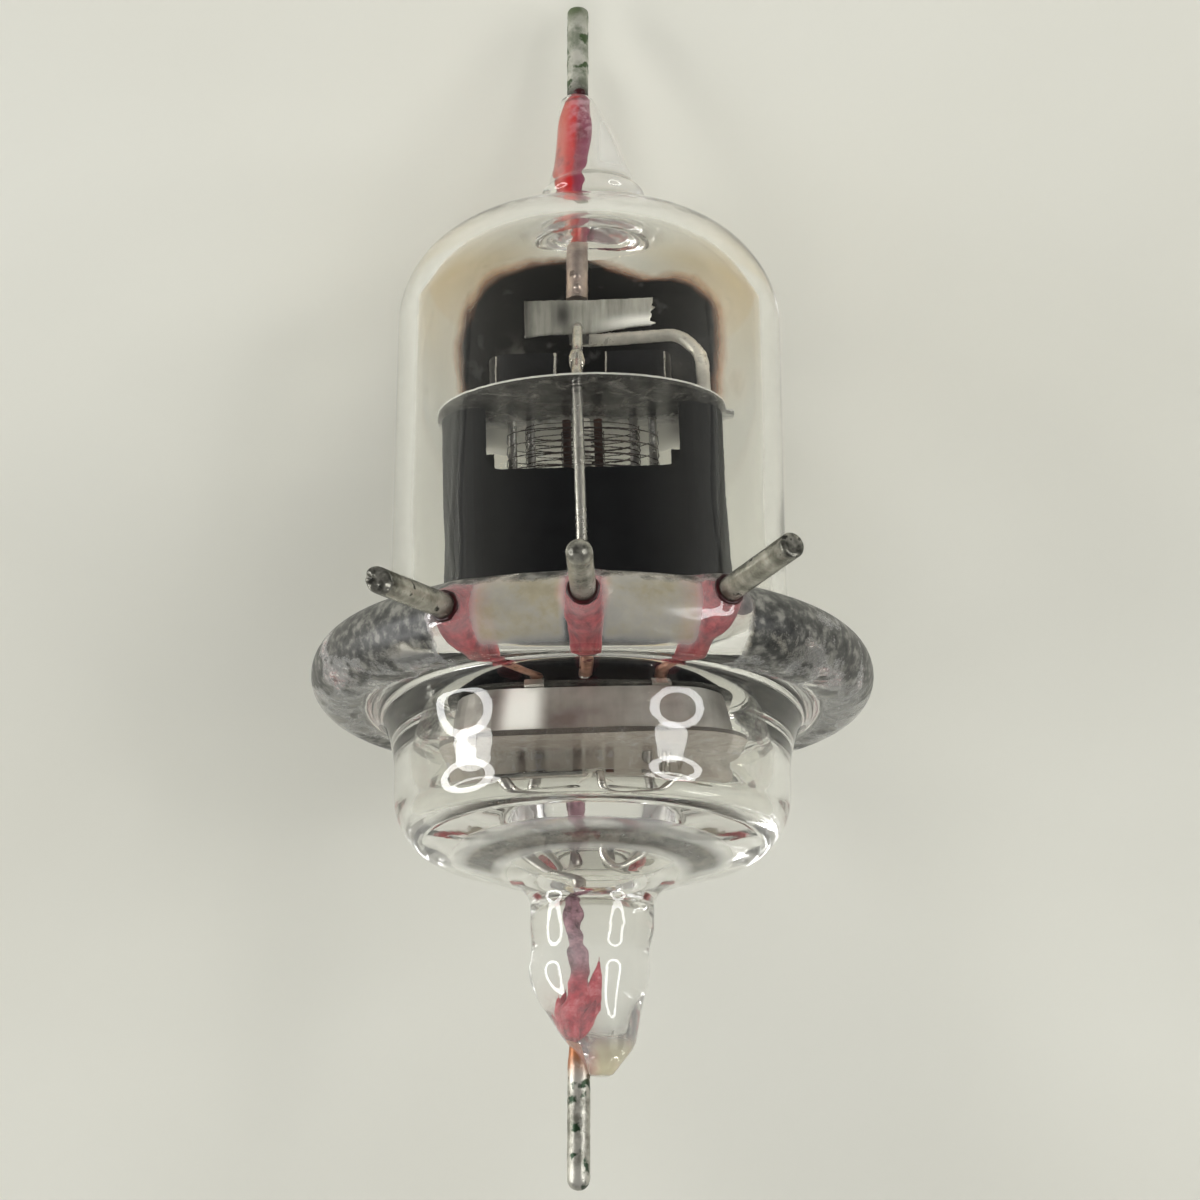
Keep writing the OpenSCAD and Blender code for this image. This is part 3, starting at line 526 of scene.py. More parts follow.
# The cavity keeps one wall's thickness inside the bulb and a thick floor in the cup.
inner = (
    [(0.6, 17.46), (1.2, 17.38), (1.8, 17.26), (2.4, 17.09), (3.0, 16.91), (3.6, 16.72)]
    + arc((shoulder_y, SHOULDER_Z), SHOULDER_R - WALL, 74, 0, 20)
    + [(BULB_R - WALL, z) for z in (11.0, 8.0, 5.0, 2.0, 0.0)]
    + [(CUP_R - WALL, -hollow_z(CUP_R)), (6.4, -3.1), (6.36, -4.0)]
    + arc((5.5, -4.6), 0.84, 0, -88, 12)
    + [(4.7, -5.45), (4.0, -5.5), (3.3, -5.62), (2.7, -5.85), (2.1, -6.3), (1.5, -6.9), (1.0, -7.4),
       (0.6, -7.7), (0.3, -7.79)]
)
print("circles on the outside:", len(outer), "inside:", len(inner))

# %% [markdown]
# ### Where the pins cross the ring
#
# Five pins leave the ring, three in front and two behind, and none was set quite straight. Their
# axes could be read off the packed pins, but the angles say more plainly how each one leans. The
# glass, the oxide and the pins are all placed by them.

# %% The ring pins
# Each is its angle from straight forward, its height at the ring, and its rise, in degrees.
RING_PINS = {"front": (-1.5, 0.3, 0.0), "left": (-28.0, 0.18, -3.4), "right": (26.0, 0.5, 4.1),
             "rear_left": (180.0 + REAR_AZ, 0.0, 0.0), "rear_right": (180.0 - REAR_AZ, 0.0, 0.0)}


def pin_frame(pin):
    """Where a ring pin's axis crosses the ring's middle line, and its direction outwards."""
    angle, height, rise = pin
    a, r = math.radians(angle), math.radians(rise)
    return (np.array([RING_R * math.sin(a), -RING_R * math.cos(a), height]),
            np.array([math.cos(r) * math.sin(a), -math.cos(r) * math.cos(a), math.sin(r)]))


def from_pin(points, pin):
    """How far points lie along a pin and beside it, and the pin's direction."""
    start, out = pin_frame(pin)
    along = (points - start) @ out
    return along, np.linalg.norm(points - start - along[:, None] * out, axis=1), out


print("ring pins:", {side: pin_frame(pin)[0].round(2).tolist() for side, pin in RING_PINS.items()})


# %% How the glass was drawn and blown
def step_up(values, low, high):
    """A smooth step from 0 at low to 1 at high."""
    t = np.clip((values - low) / (high - low), 0, 1)
    return t * t * (3 - 2 * t)


def spread_azimuths():
    """Azimuths from straight forward, in degrees, closer together at each ring pin."""
    marks = set(np.round(np.arange(0, 360, 3.0), 3))
    for angle, _, _ in RING_PINS.values():
        marks |= {round((angle + step) % 360, 3) for step in np.arange(-8, 8.01, 0.8)}
    kept = []
    for mark in sorted(marks):
        if not kept or mark - kept[-1] > 0.35:
            kept.append(mark)
    return np.radians(kept)


def climb(points):
    """Lets the glass climb up each ring pin in a small fillet."""
    for pin in RING_PINS.values():
        along, aside, out = from_pin(points, pin)
        weight = (1 - np.clip((aside - 0.5) / 0.95, 0, 1)) ** 2.4
        gain = np.where((along > 0) & (aside < 1.5), np.clip(1.47 - along, 0, None) * weight, 0)
        points = points + gain[:, None] * out
    return points


def settle(points):
    """The bulb was blown a touch to the left of the pins' middle."""
    points = np.array(points, float)
    z = points[:, 2]
    upper = np.clip((z - 1.6) / 2.2, 0, 1) * (1 - np.clip((z - 15.5) / 3.2, 0, 1))
    points[:, 0] -= 0.14 * upper * upper * (3 - 2 * upper)
    return points


def pinch(z, radius):
    """How far the stem's front stands out: the pliers left it fuller there than at the sides."""
    front = np.interp(-z, [10.3, 11.3, 12.2, 12.7, 13.1, 13.5], [2.09, 1.98, 1.78, 1.5, 1.1, 0.7])
    return max(1.0, front / radius) if 10.3 < -z < 13.5 else 1.0


azimuths = spread_azimuths()
print("points round the glass:", len(azimuths))


# %% Build the glass
def skin(rows, sides, first=0, open_rows=False, looped=False):
    """Quads between rows of points. looped joins the last row to the first."""
    faces = []
    for k in range(rows if looped else rows - 1):
        here, there = first + k * sides, first + (k + 1) % rows * sides
        for j in range(sides - 1 if open_rows else sides):
            m = (j + 1) % sides
            faces.append((here + j, here + m, there + m, there + j))
    return faces


def fan(point, first, sides, turned=False):
    """Triangles from one point to a row. turned lets them face the other way."""
    ends = [(first + j, first + (j + 1) % sides) for j in range(sides)]
    return [(point, b, a) if turned else (point, a, b) for a, b in ends]


points = []
for offset, z, radius in outer:
    for a in azimuths:
        depth = -radius * math.cos(a)
        points.append((offset + radius * math.sin(a), depth * (pinch(z, radius) if depth < 0 else 1.0), z))
skin_count, sides = len(points), len(azimuths)
points += [(radius * math.sin(a), -radius * math.cos(a), z) for radius, z in inner for a in azimuths]
count = len(points)
points += [(0.27, 0.0, STEM_END_Z), (-TOP_OFF, 0.0, BEAD_END_Z), (0.0, 0.0, DOME_Z), (0.0, 0.0, FLOOR_Z)]
points = np.array(points)
points[:skin_count] = climb(points[:skin_count])
points = settle(points)
faces = (skin(len(outer), sides) + skin(len(inner), sides, skin_count) + fan(count, 0, sides, True)
         + fan(count + 1, skin_count - sides, sides) + fan(count + 2, skin_count, sides, True)
         + fan(count + 3, count - sides, sides))
envelope = link_mesh("glass_envelope_blown", points, faces)
print("glass:", len(points), "points,", len(faces), "faces")

# %% [markdown]
# ### What clings to the glass
#
# Six marks are on the glass. Soot is the grey mottling that the sealing fires left on the left and
# the right of the ring, and frost is the ring's pale front. Amber is a haze of getter metal at both sides
# of the dome, and a tint at the stem's end. Blush is the red of the oxide round each pin, milk is
# clouded glass in the bead and the stem, and smoke is painted shade: a dark crescent on the cup's
# floor that stands in for the cage's dark underside seen through the thick glass. All are
# painted on the points as attributes, and a noise breaks their edges in the shader. An image could
# do it too, but it would need a flat map of a shape that has none.

# %% Soot and frost on the ring
def paint(thing, name, values):
    """Stores one number for each point of a mesh."""
    layer = thing.data.attributes.new(name, "FLOAT", "POINT")
    layer.data.foreach_set("value", np.asarray(values, float).tolist())
    print(thing.name, "is painted with", name)


px, py, pz = points.T
azimuth = np.degrees(np.arctan2(px, -py))
turned = np.abs(azimuth)
reach = np.hypot(px, py)
side_zone = step_up(turned, 27, 34) * (1 - step_up(turned, 118, 142)) * (0.72 + 0.28 * step_up(pz, -1.2, 0.2))
upper_edge = step_up(pz, 0.35, 1.0) * (1 - step_up(turned, 34, 60)) * 0.78
on_ring = step_up(reach, 7.6, 8.3) * (np.abs(pz) < 1.6)
paint(envelope, "soot", np.clip(on_ring * (side_zone + upper_edge), 0, 1))
between = (1 - step_up(turned, 36, 62)) * step_up(reach, 7.7, 8.3)
between = between * step_up(pz, -1.3, -0.95) * (np.abs(pz) < 1.6)
near_red = np.zeros(len(points))
for side, (angle, _, _) in RING_PINS.items():
    bare_from, bare_to = (4.6, 6.4) if side in ("left", "right") else (3.0, 4.6)
    from_angle = np.abs((azimuth - angle + 180) % 360 - 180)
    near_red = np.maximum(near_red, 1 - step_up(from_angle, bare_from, bare_to))
paint(envelope, "frost", between * (1 - 0.9 * near_red))

# %% Haze, blush, milk, and smoke as painted shade
haze = np.exp(-((turned - 88) / 34) ** 2) * step_up(pz, 10.5, 14.5) * (1 - step_up(pz, 16.6, 17.6))
stem_tint = step_up(-pz, 12.5, 13.2) * step_up(px, -0.3, 0.3)
paint(envelope, "amber", np.maximum(haze * (reach < 6.8), stem_tint))
red_zone = np.zeros(len(points))
for side, pin in RING_PINS.items():
    along, aside, _ = from_pin(points, pin)
    red_zone = np.maximum(red_zone, (1 - step_up(aside, 0.5, 1.0 if side == "front" else 1.5)) * (along > 0))
stem_red = (1 - step_up(np.hypot(px + 0.1, py + 0.9), 0.8, 2.2)) * step_up(-pz, 10.2, 11.6)
stem_red = stem_red * (py < 0) * (1 - step_up(px, -0.1, 0.4))
paint(envelope, "blush", np.clip(red_zone + 0.8 * stem_red, 0, 1))
bead_milk = step_up(pz, 19.3, 20.2) * (0.04 + 0.5 * step_up(px, -0.25, 0.4))
end_milk = 0.8 * step_up(-pz, 12.4, 13.2) * step_up(px, -0.5, 0.3)
paint(envelope, "milk", bead_milk + 0.14 * step_up(-pz, 8.8, 9.6) + end_milk)
# smoke is painted shade: a dark crescent on the front of the cup's inner floor, standing in for the cage's
# dark underside seen through the glass.
on_floor = (np.arange(len(points)) >= skin_count) * (pz < 0) * (1 - step_up(py, 0.2, 1.4))
paint(envelope, "smoke", on_floor * step_up(reach, 2.7, 3.3) * (1 - step_up(reach, 4.1, 4.7)))


# %% The glass finish
def glass_finish():
    """Clear glass under its six marks. A shadow ray passes it, because solid glass shades too hard."""
    r = Finish("glass")
    mark = {name: r.mark(name) for name in ("soot", "frost", "amber", "blush", "milk", "smoke")}
    coarse, fine = r.cloud(900.0, 7.0, 0.75), r.cloud(2800.0, 4.0)
    mixed = r.plus(r.times(r.cloud(330.0, 4.0, bend=0.8), 0.6), r.times(coarse, 0.6))
    patch = r.stretch(r.plus(r.times(mark["soot"], 0.5), mixed), 0.88, 1.0)
    soot_colour = r.ramp(r.plus(r.times(fine, 0.5), r.times(coarse, 0.5)), [
        (0.4, (0.014, 0.014, 0.013)), (0.5, (0.06, 0.06, 0.054)), (0.6, (0.24, 0.235, 0.205))])
    frosted = r.times(mark["frost"], r.stretch(mixed, 0.48, 0.68, 0.6, 1.0))
    red = r.times(mark["blush"], r.stretch(coarse, 0.4, 0.62, 0.15, 0.75))
    tint = r.blend(mark["amber"], (0.965, 0.965, 0.94), (0.9, 0.74, 0.5))
    iced = r.blend(frosted, tint, r.blend(fine, (0.29, 0.255, 0.17), (0.46, 0.41, 0.29)))
    milked = r.blend(mark["milk"], iced, r.blend(mark["amber"], (0.74, 0.745, 0.7), (0.75, 0.7, 0.5)))
    # The smoke colour is painted shade, a dark brown veil for the cage's underside seen through the floor.
    painted_floor_shade = r.blend(r.ramp(coarse, [(0.42, 0.0), (0.6, 1.0)]), (0.02, 0.018, 0.015), (0.16, 0.14, 0.115))
    blushed = r.blend(red, r.blend(mark["smoke"], milked, painted_floor_shade), (0.6, 0.14, 0.15))
    veil = r.plus(r.times(frosted, 0.84), r.times(red, 0.45))
    for cover, share in ((mark["milk"], 0.6), (mark["smoke"], 0.86), (patch, 0.9)):
        veil = r.most(veil, r.times(cover, share))
    clear = r.maths("SUBTRACT", 1.0, r.maths("MINIMUM", veil, 0.94))
    roughness = r.times(r.most(patch, r.times(frosted, 0.6)), 0.4)
    solid = r.surface(r.blend(patch, blushed, soot_colour), roughness, {
        "Transmission Weight": clear, "IOR": 1.5, "Normal": r.bump(fine, 0.02)})
    edge = r.put("ShaderNodeLayerWeight", {"Blend": 0.35}).outputs["Facing"]
    shade = r.ramp(edge, [(0.2, (0.93, 0.93, 0.915)), (0.85, (0.4, 0.4, 0.385))])
    through = r.put("ShaderNodeBsdfTransparent", {"Color": shade}).outputs[0]
    shadow = r.put("ShaderNodeLightPath").outputs["Is Shadow Ray"]
    r.close(r.put("ShaderNodeMixShader", {0: shadow, 1: solid, 2: through}).outputs[0])


def keep(piece, slot, node=None, finish=None):
    """Gives a piece its finish (its slot's own, unless another is named) and its body, and hides the packed
    node that it stands for.
    """
    piece.data.materials.clear()
    piece.data.materials.append(FINISHES[finish or slot])
    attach(piece, "root")
    if node:
        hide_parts(node)


glass_finish()
keep(envelope, "glass", "glass_envelope")

# %% [markdown]
# ## Finishes for the pieces that stay
#
# The micas, shields, rods, the anode and a few more already have their true shape, so they keep
# their packed meshes and only get a finish. They could be modelled again, but nothing would show.

# %% Dress the packed pieces
DRESS = {
    "top_lead": "pink_metal", "top_strip": "dull_nickel", "anode": "black_anode",
    "anode_rod_left": "nickel_rod", "top_mica": "mica", "middle_mica": "mica", "bottom_mica": "brown_mica",
    "top_shield": "dark_shield", "lower_shield": "grey_shield", "lead_clips": "bright_nickel",
    "cathode": "white_coating", "control_grid_rods": "rust_rod", "screen_grid_rods": "nickel_rod",
    "suppressor_grid_rods": "bright_nickel", "grid_strap": "dull_nickel",
}
for name, finish in DRESS.items():
    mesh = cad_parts[name].data
    mesh.materials.clear()
    mesh.materials.append(FINISHES[finish])
print("dressed:", len(DRESS))

# %% [markdown]
# ## Wires
#
# Every bent wire is swept along a smooth path with rounded ends. A curve object with a bevel would
# do for one of even thickness, but the oxide makes some of them swell, so each circle is set here.
# The path's corners are turned into bends first, as pliers would leave them.

# %% Sweep a wire
def bent(path, reach, steps=8):
    """Turns each corner of a path into a smooth bend."""
    path = [np.array(p, float) for p in path]
    out = [path[0]]
    for before, corner, after in zip(path, path[1:], path[2:]):
        s = corner + reach * (before - corner) / np.linalg.norm(before - corner)
        e = corner + reach * (after - corner) / np.linalg.norm(after - corner)
        for u in (k / steps for k in range(steps + 1)):
            out.append((1 - u) ** 2 * s + 2 * u * (1 - u) * corner + u * u * e)
    return out + [path[-1]]


def sweep(name, path, radius, sides=12, place=CAGE, squash=1.0):
    """A round wire with domed ends. radius may be one number or one for each point."""
    path = np.array(path, float)
    radii = np.full(len(path), radius, float) if np.isscalar(radius) else np.array(radius, float)
    ways = np.gradient(path, axis=0)
    ways /= np.linalg.norm(ways, axis=1)[:, None]
    caps = [k * math.pi / 8 for k in (1, 2, 3)]
    pull, end_pull = [radii[k] * math.sin(caps[-1]) for k in (0, -1)]
    rings = [(path[0] + ways[0] * (pull - radii[0] * math.sin(a)), radii[0] * math.cos(a), ways[0])
             for a in reversed(caps)]
    rings += [list(ring) for ring in zip(path, radii, ways)]
    rings[3][0] = path[0] + ways[0] * pull
    rings[-1][0] = path[-1] - ways[-1] * pull
    rings += [(path[-1] - ways[-1] * (end_pull - radii[-1] * math.sin(a)), radii[-1] * math.cos(a),
               ways[-1]) for a in caps]
    guide = np.array([0, 0, 1.0]) if abs(ways[0][2]) < 0.9 else np.array([1.0, 0, 0])
    points = []
    for centre, width, way in rings:
        guide = guide - (guide @ way) * way
        guide /= np.linalg.norm(guide)
        other = np.cross(way, guide)
        for a in (2 * math.pi * j / sides for j in range(sides)):
            points.append(centre + width * (math.cos(a) * guide + math.sin(a) * squash * other))
    ends = [tuple(range(sides - 1, -1, -1)), tuple(range(len(points) - sides, len(points)))]
    return link_mesh(name, points, ends + skin(len(rings), sides), place=place)


def ring_point(side, t):
    """A point on a ring pin's axis, t beyond the ring's middle line."""
    start, out = pin_frame(RING_PINS[side])
    return start + t * out


print("a bend of", len(bent([(0, 0, 0), (1, 0, 0), (1, 1, 0)], 0.3)), "points for each corner")


# %% The bent wires of the cage
def wire(name, corners, bend, radius, slot, node, finish=None, sides=14, place=CAGE):
    """A bent wire in place of a packed one."""
    keep(sweep(name, bent(corners, bend), radius, sides, place), slot, node, finish)
    print(name, "has", len(corners) - 2, "bends")


wire("anode_rod_right_bent", [(4.6, 0, 0.12), (4.6, 0, 11), (4.6, 0.2, 12.6), (3.8, 0.55, 13.6),
                              (1, 0.84, 13.6), (-0.35, 0.84, 13.6)],
     0.5, 0.24, "nickel_rod", "anode_rod_right", "bent_nickel")
wire("getter_wire_drawn", [(-0.2, -3.2, 0.12), (-0.15, -3.2, 9), (-0.15, -3.2, 10.6), (-0.1, -1.72, 12.1),
                           (-0.05, -1.28, 13.25)],
     0.3, 0.2, "nickel_rod", "getter_wire", "bright_nickel")
wire("bottom_lead_bent", [(-0.45, 0, -7.78), (-0.45, 0, -6.9), (-2.7, -0.3, -4.9), (-3.2, -0.55, -3.34)],
     0.35, 0.24, "nickel_rod", "bottom_lead", place=TUBE)
wire("cathode_wire_slack", [(0.2, -0.47, -2.89), (0.25, -0.5, -5), (0.8, -0.55, -5.7), (2.2, -0.5, -4.9),
                            (3.1, -0.4, -2.96)],
     0.35, 0.15, "nickel_rod", "cathode_wire", "bright_nickel", 10)
LEG = 0.13
wire("heater_coated", [(-0.62, 0.2, -4.09), (-LEG, 0, -3.29), (-LEG, 0, 9.9), (LEG, 0, 9.9), (LEG, 0, -3.29),
                       (0.62, 0.2, -4.09)], LEG * 0.9, 0.09, "white_coating", "heater", sides=8)

# %% The inner leads
# Each runs from its seal's inner end to the cage.
SEAL_IN = BULB_R - WALL - RING_R
MICA_TOP, MICA_LEAN = 0.1 + 0.12 + 0.24 + 0.06, math.sin(math.radians(2))
front = ring_point("front", SEAL_IN)
leads = {"front": [front, (-0.25, -3.42, front[2])]}
for side, x in (("left", -2.0), ("right", 2.5)):
    over = MICA_TOP + (x + 0.05) * MICA_LEAN
    leads[side] = [ring_point(side, SEAL_IN), ring_point(side, SEAL_IN - 0.8), (x, -3.6, over),
                   (x, -2.85, over)]
for side, sign in (("rear_left", -1), ("rear_right", 1)):
    down = ring_point(side, 6.3 - 0.4 - RING_R)
    leads[side] = [ring_point(side, SEAL_IN), down, (down[0], down[1], -4.5), (sign * 0.75, 0.75, -4.6),
                   (sign * 0.62, 0.42, -4.6)]
for side, corners in leads.items():
    finish = "nickel_rod" if "rear" in side else "lead_wire"
    wire("lead_%s_wire" % side, corners, 0.3, 0.24, "lead_wire", "lead_" + side, finish, 12, TUBE)

# %% [markdown]
# ### The red sealing wires
#
# Where a wire goes through the glass it is clad in copper, whose oxide is red and holds the glass.
# Each wire is thinner at the inside and swells where the oxide ran. A bump would only shade that,
# and the swelling shows at the wire's edge, so it is in the circles' radii.

# %% The wires in the ring
for side in RING_PINS:
    t = np.linspace(SEAL_START, SEAL_END, 30)
    swell = {"left": 0.26, "right": 0.26, "front": 0.12}.get(side, 0.0)
    girth = 0.34 + 0.15 * step_up(t, -2.1, -1.5) - 0.02 * np.sin(5 * t)
    girth = girth + swell * np.exp(-((t + 0.1) / 0.7) ** 2)
    line = [ring_point(side, along) for along in t]
    keep(sweep("seal_%s_oxide" % side, line, girth, 20, TUBE), "copper_clad", "seal_" + side)
print("sealing wires in the ring:", len(RING_PINS))


# %% [markdown]
# ### The wire in the bead
#
# The top wire shows through clear glass, so its colours are plain to see: orange-red at the left,
# a deep red streak, and magenta that whitens upwards. Two marks on its points, one across and one
# upwards, carry the colours, because a ramp on Object coordinates would be cut aslant.

# %% The wire in the bead
def upright(thing):
    """A mesh's points back in the upright frame, as three rows of numbers."""
    flat = np.empty(3 * len(thing.data.vertices))
    thing.data.vertices.foreach_get("co", flat)
    return placed(flat.reshape(-1, 3), TUBE.inverted()).T


def bead_oxide():
    """Orange-red at the left of the bead, a deep red streak, then magenta that whitens upwards."""
    r = Finish("bead_oxide")
    side, rise = r.mark("side"), r.mark("rise")
    grain = r.cloud(2600.0, 6.0, 0.7, where=r.drawn_out(0.4))
    colour = r.ramp(r.ragged(side, grain, 0.5), [
        (0.08, (0.4, 0.06, 0.035)), (0.34, (0.42, 0.012, 0.012)), (0.5, (0.4, 0.002, 0.004)),
        (0.62, (0.22, 0.012, 0.035)), (0.9, (0.2, 0.02, 0.06))])
    pale = r.times(r.times(rise, side), r.ramp(r.cloud(4200.0, 4.0), [(0.42, 0.0), (0.6, 1.0)]))
    whitened = r.blend(pale, colour, (0.5, 0.3, 0.34))
    darkened = r.blend(r.ramp(grain, [(0.34, 0.7), (0.47, 0.0)]), whitened, (0.1, 0.006, 0.015))
    r.close(r.surface(darkened, 0.45, {"Normal": r.bump(grain, 0.8)}))


z = np.linspace(DOME_Z, TOP_SEAL_END_Z, 34)
girth = 0.33 + 0.14 * step_up(z, NECK_Z, NECK_Z + 1) - 0.2 * step_up(z, 21.9, TOP_SEAL_END_Z)
top_wire = sweep("top_seal_oxide", np.c_[0.02 * np.sin(3 * z) - TOP_OFF, 0 * z, z], girth, 28, TUBE)
top_x, _, top_z = upright(top_wire)
paint(top_wire, "side", np.clip(0.5 + (top_x + TOP_OFF) / 0.8, 0, 1))
paint(top_wire, "rise", step_up(top_z, 20.4, 23.0))
bead_oxide()
keep(top_wire, "copper_clad", "top_seal", "bead_oxide")

# %% [markdown]
# ### The wire and the flakes in the stem
#
# The bottom wire is thin and mauve in the upper stem and red below, where the oxide splayed into
# pointed flakes as the glass was pinched. The wire is roughened by moving its points along their
# normals. Each flake is a flattened sweep, thick in the middle and drawn to a point.

# %% The wire in the stem
z = np.linspace(FLOOR_Z, STEM_SEAL_END_Z, 60)
x = 0.1 * step_up(-z, 8.0, 10.0) - BOTTOM_OFF - 0.06 * step_up(-z, 11.0, 12.3)
girth = 0.18 + 0.14 * step_up(-z, 9.4, 12.0) - 0.1 * step_up(-z, 12.25, -STEM_SEAL_END_Z)
stem_wire = sweep("bottom_seal_oxide", np.c_[x, 0 * z, z], girth, 28, TUBE)
for v in stem_wire.data.vertices:
    v.co += v.normal * 0.00016 * noise.noise(v.co * 2100)
paint(stem_wire, "fan", step_up(-upright(stem_wire)[2], 9.9, 11.0))
keep(stem_wire, "copper_clad", "bottom_seal", "stem_oxide")

# %% The flakes in the stem
# Each row is a flake's tip and its width.
FLAKE_ROOT = np.array([-0.42, 0.0, -12.5])
FLAKES = [(0.14, -0.2, -10.0, 0.26), (-0.3, -0.25, -10.9, 0.22), (-0.78, -0.1, -11.0, 0.24),
          (-1.02, 0.0, -11.5, 0.2), (-0.55, 0.3, -10.8, 0.24), (0.12, 0.25, -10.9, 0.26),
          (-0.86, -0.3, -11.9, 0.2), (0.08, -0.35, -11.3, 0.2)]


def flake_girth(u, k, spread):
    """A flake's width at a share u of its length."""
    if u < 0.4:
        return spread * (0.35 + 0.65 * math.sin(math.pi * min(1.0, 1.25 * u)))
    return spread * max(0.04, ((1 - u) / 0.6) ** 0.8) * (1 + 0.25 * noise.noise(Vector((7 * u, k, 2.0))))


for k, (*flake_tip, spread) in enumerate(FLAKES):
    belly = np.array([0.096 * math.copysign(1, flake_tip[0] + 0.42), 0.0, 0.0])
    share = np.linspace(0, 1, 22)
    blade = [FLAKE_ROOT + u * (flake_tip - FLAKE_ROOT) + math.sin(math.pi * u) * belly for u in share]
    flake = sweep("seal_flake_%d" % k, blade, [flake_girth(u, k, spread) for u in share], 10, TUBE, 0.3)
    paint(flake, "fan", np.ones(len(flake.data.vertices)))
    keep(flake, "copper_clad", finish="stem_oxide")


# %% [markdown]
# ### The collars
#
# A dark ring of oxide lies where each pin enters the glass. A torus would be too even, so its
# thickness follows a noise round the pin.

# %% The collars of oxide
def cross_axes(out):
    """Two directions across an axis."""
    guide = np.cross(out, [0, 0, 1.0]) if abs(out[2]) < 0.9 else np.array([1.0, 0, 0])
    guide /= np.linalg.norm(guide)
    return guide, np.cross(out, guide)


def collar(name, side, t=1.46, wide=0.46, thick=0.08, turns=36, around=8):
    """A dark uneven ring of oxide where a pin enters the glass."""
    start, out = pin_frame(RING_PINS[side])
    guide, other = cross_axes(out)
    points = []
    for a in (2 * math.pi * k / turns for k in range(turns)):
        spot = Vector((3 * math.cos(a), 3 * math.sin(a), wide * 10 + start[0]))
        spoke, fat = math.cos(a) * guide + math.sin(a) * other, thick * (1.0 + 0.45 * noise.noise(spot))
        for b in (2 * math.pi * j / around for j in range(around)):
            points.append(start + t * out + (wide + fat * math.cos(b)) * spoke + fat * math.sin(b) * out)
    return link_mesh(name, points, skin(turns, around, looped=True))


for side in RING_PINS:
    keep(collar("collar_" + side, side), "copper_clad", finish="copper_root")
print("collars:", len(RING_PINS))

# %% [markdown]
# ## The pins that show
#
# The left pin was snipped with pliers and its end is dark and torn. The right one was cut square,
# the top one is blunt, and the others are domed. A cylinder with a bevel has none of this wear, so
# each pin is built ring by ring. Its points carry two marks: how close they are to the pin's end
# and how close to the glass.

# %% The kinds of end
# A cap's rows are a share of the length, of the girth, and a lift in radii.
CAPS = {"dome": [(1.0, math.cos(a), math.sin(a)) for a in np.radians(np.arange(12, 90, 13))],
        "flat": [(1.0, 0.93, 0.13), (1.0, 0.6, 0.14), (1.0, 0.25, 0.13)],
        "snip": [(1.0, 0.86, 0.06), (1.0, 0.6, 0.0), (1.0, 0.3, 0.05)],
        "blunt": [(1.0, 0.98, 0.1), (1.0, 0.9, 0.22), (1.0, 0.7, 0.3), (1.0, 0.35, 0.33)]}
print("rows in each end:", {end: len(rows) for end, rows in CAPS.items()})


# %% Pins with worn ends
def worn_pin(name, start, out, first, last, end, finish, node, roots=None, radius=PIN_R, wear=0.018):
    """A pin from first to last along its axis. roots is its girth at the glass and where that ends."""
    guide, other = cross_axes(out)
    rows, sides, seed = 72, 36, sum(ord(c) for c in name)
    stop_at = last - {"dome": radius, "flat": 0.06, "snip": 0.0, "blunt": 0.15}[end]
    fade, most = (0.5, 0.5) if end == "dome" else (0.8, 1.0)
    profile = [(k / (rows - 1), 1.0, 0.0) for k in range(rows)] + CAPS[end]
    points, tips = [], []
    for u, girth, lift_by in profile:
        for a in (2 * math.pi * j / sides for j in range(sides)):
            c, s = math.cos(a), math.sin(a)
            rough = noise.noise(Vector((c * 1.5, s * 1.5, 5 * u + seed)))
            pitted = noise.noise(Vector((c * 3.5, s * 3.5, 26 * u + seed)))
            stop = stop_at
            if end == "snip":
                stop -= 0.2 * (1 + math.cos(a - 2.2)) + 0.1 * abs(rough) * (1 + math.cos(3 * a))
            t = first + (stop - first) * u + lift_by * radius
            r = (radius * (1 - 0.5 * wear) - 0.008) * girth * (1 + 0.018 * rough + (wear - 0.018) * pitted)
            if roots:
                r *= roots[0] + (1 - roots[0]) * min(1.0, (t - first) / roots[1])
            points.append(start + t * out + r * (c * guide + s * other))
            tips.append(most * max(0.0, 1 - (stop - t) / fade))
    count = len(points)
    points += [start + first * out, start + (last - (0.35 if end == "snip" else 0.0)) * out]
    faces = skin(len(profile), sides) + fan(count, 0, sides, True) + fan(count + 1, count - sides, sides)
    made = link_mesh(name, points, faces)
    paint(made, "tip", tips + [0.0, 1.0])
    from_glass = (np.array(points) - start) @ out - first
    paint(made, "root", 1 - step_up(from_glass, *((0.8, 1.6) if roots else (0.1, 0.9))))
    keep(made, "pin_metal", node, finish)


# %% [markdown]
# ### The pins' metal
#
# The pins are tinned and tarnished. The ring pins are dark at the glass and at their ends, the top
# pin is greenish and scaly, and the bottom pin is brown where the flame reached it. One recipe
# takes all of them, and the two marks place the end's shade and the root's.

# %% Worn metal
def worn_metal(name, light, dark, spots, tip_shade, root_shade, rough=0.27, tip_amount=0.9, root_amount=0.8,
               spot_size=2600.0, spot_level=0.63, relief=0.5, metallic=0.6):
    """Tarnished metal with its own shade at the end and at the root."""
    r = Finish(name)
    cloud, fleck = r.cloud(1300.0, 5.0, 0.62), r.cloud(spot_size, 3.0)
    flecked = r.blend(r.ramp(fleck, [(spot_level, 0.0), (spot_level + 0.06, 1.0)]),
                      r.ramp(cloud, [(0.38, dark), (0.6, light)]), spots)
    torn = r.times(r.mark("tip"), r.ramp(fleck, [(0.35, 1.0), (0.62, 0.45)]))
    rooted = r.times(r.mark("root"), r.ramp(cloud, [(0.35, 1.0), (0.65, 0.5)]))
    ended = r.blend(r.times(torn, tip_amount), flecked, tip_shade)
    colour = r.blend(r.times(rooted, root_amount), ended, root_shade)
    r.close(r.surface(colour, rough, {"Metallic": metallic, "Normal": r.bump(fleck, relief)}))


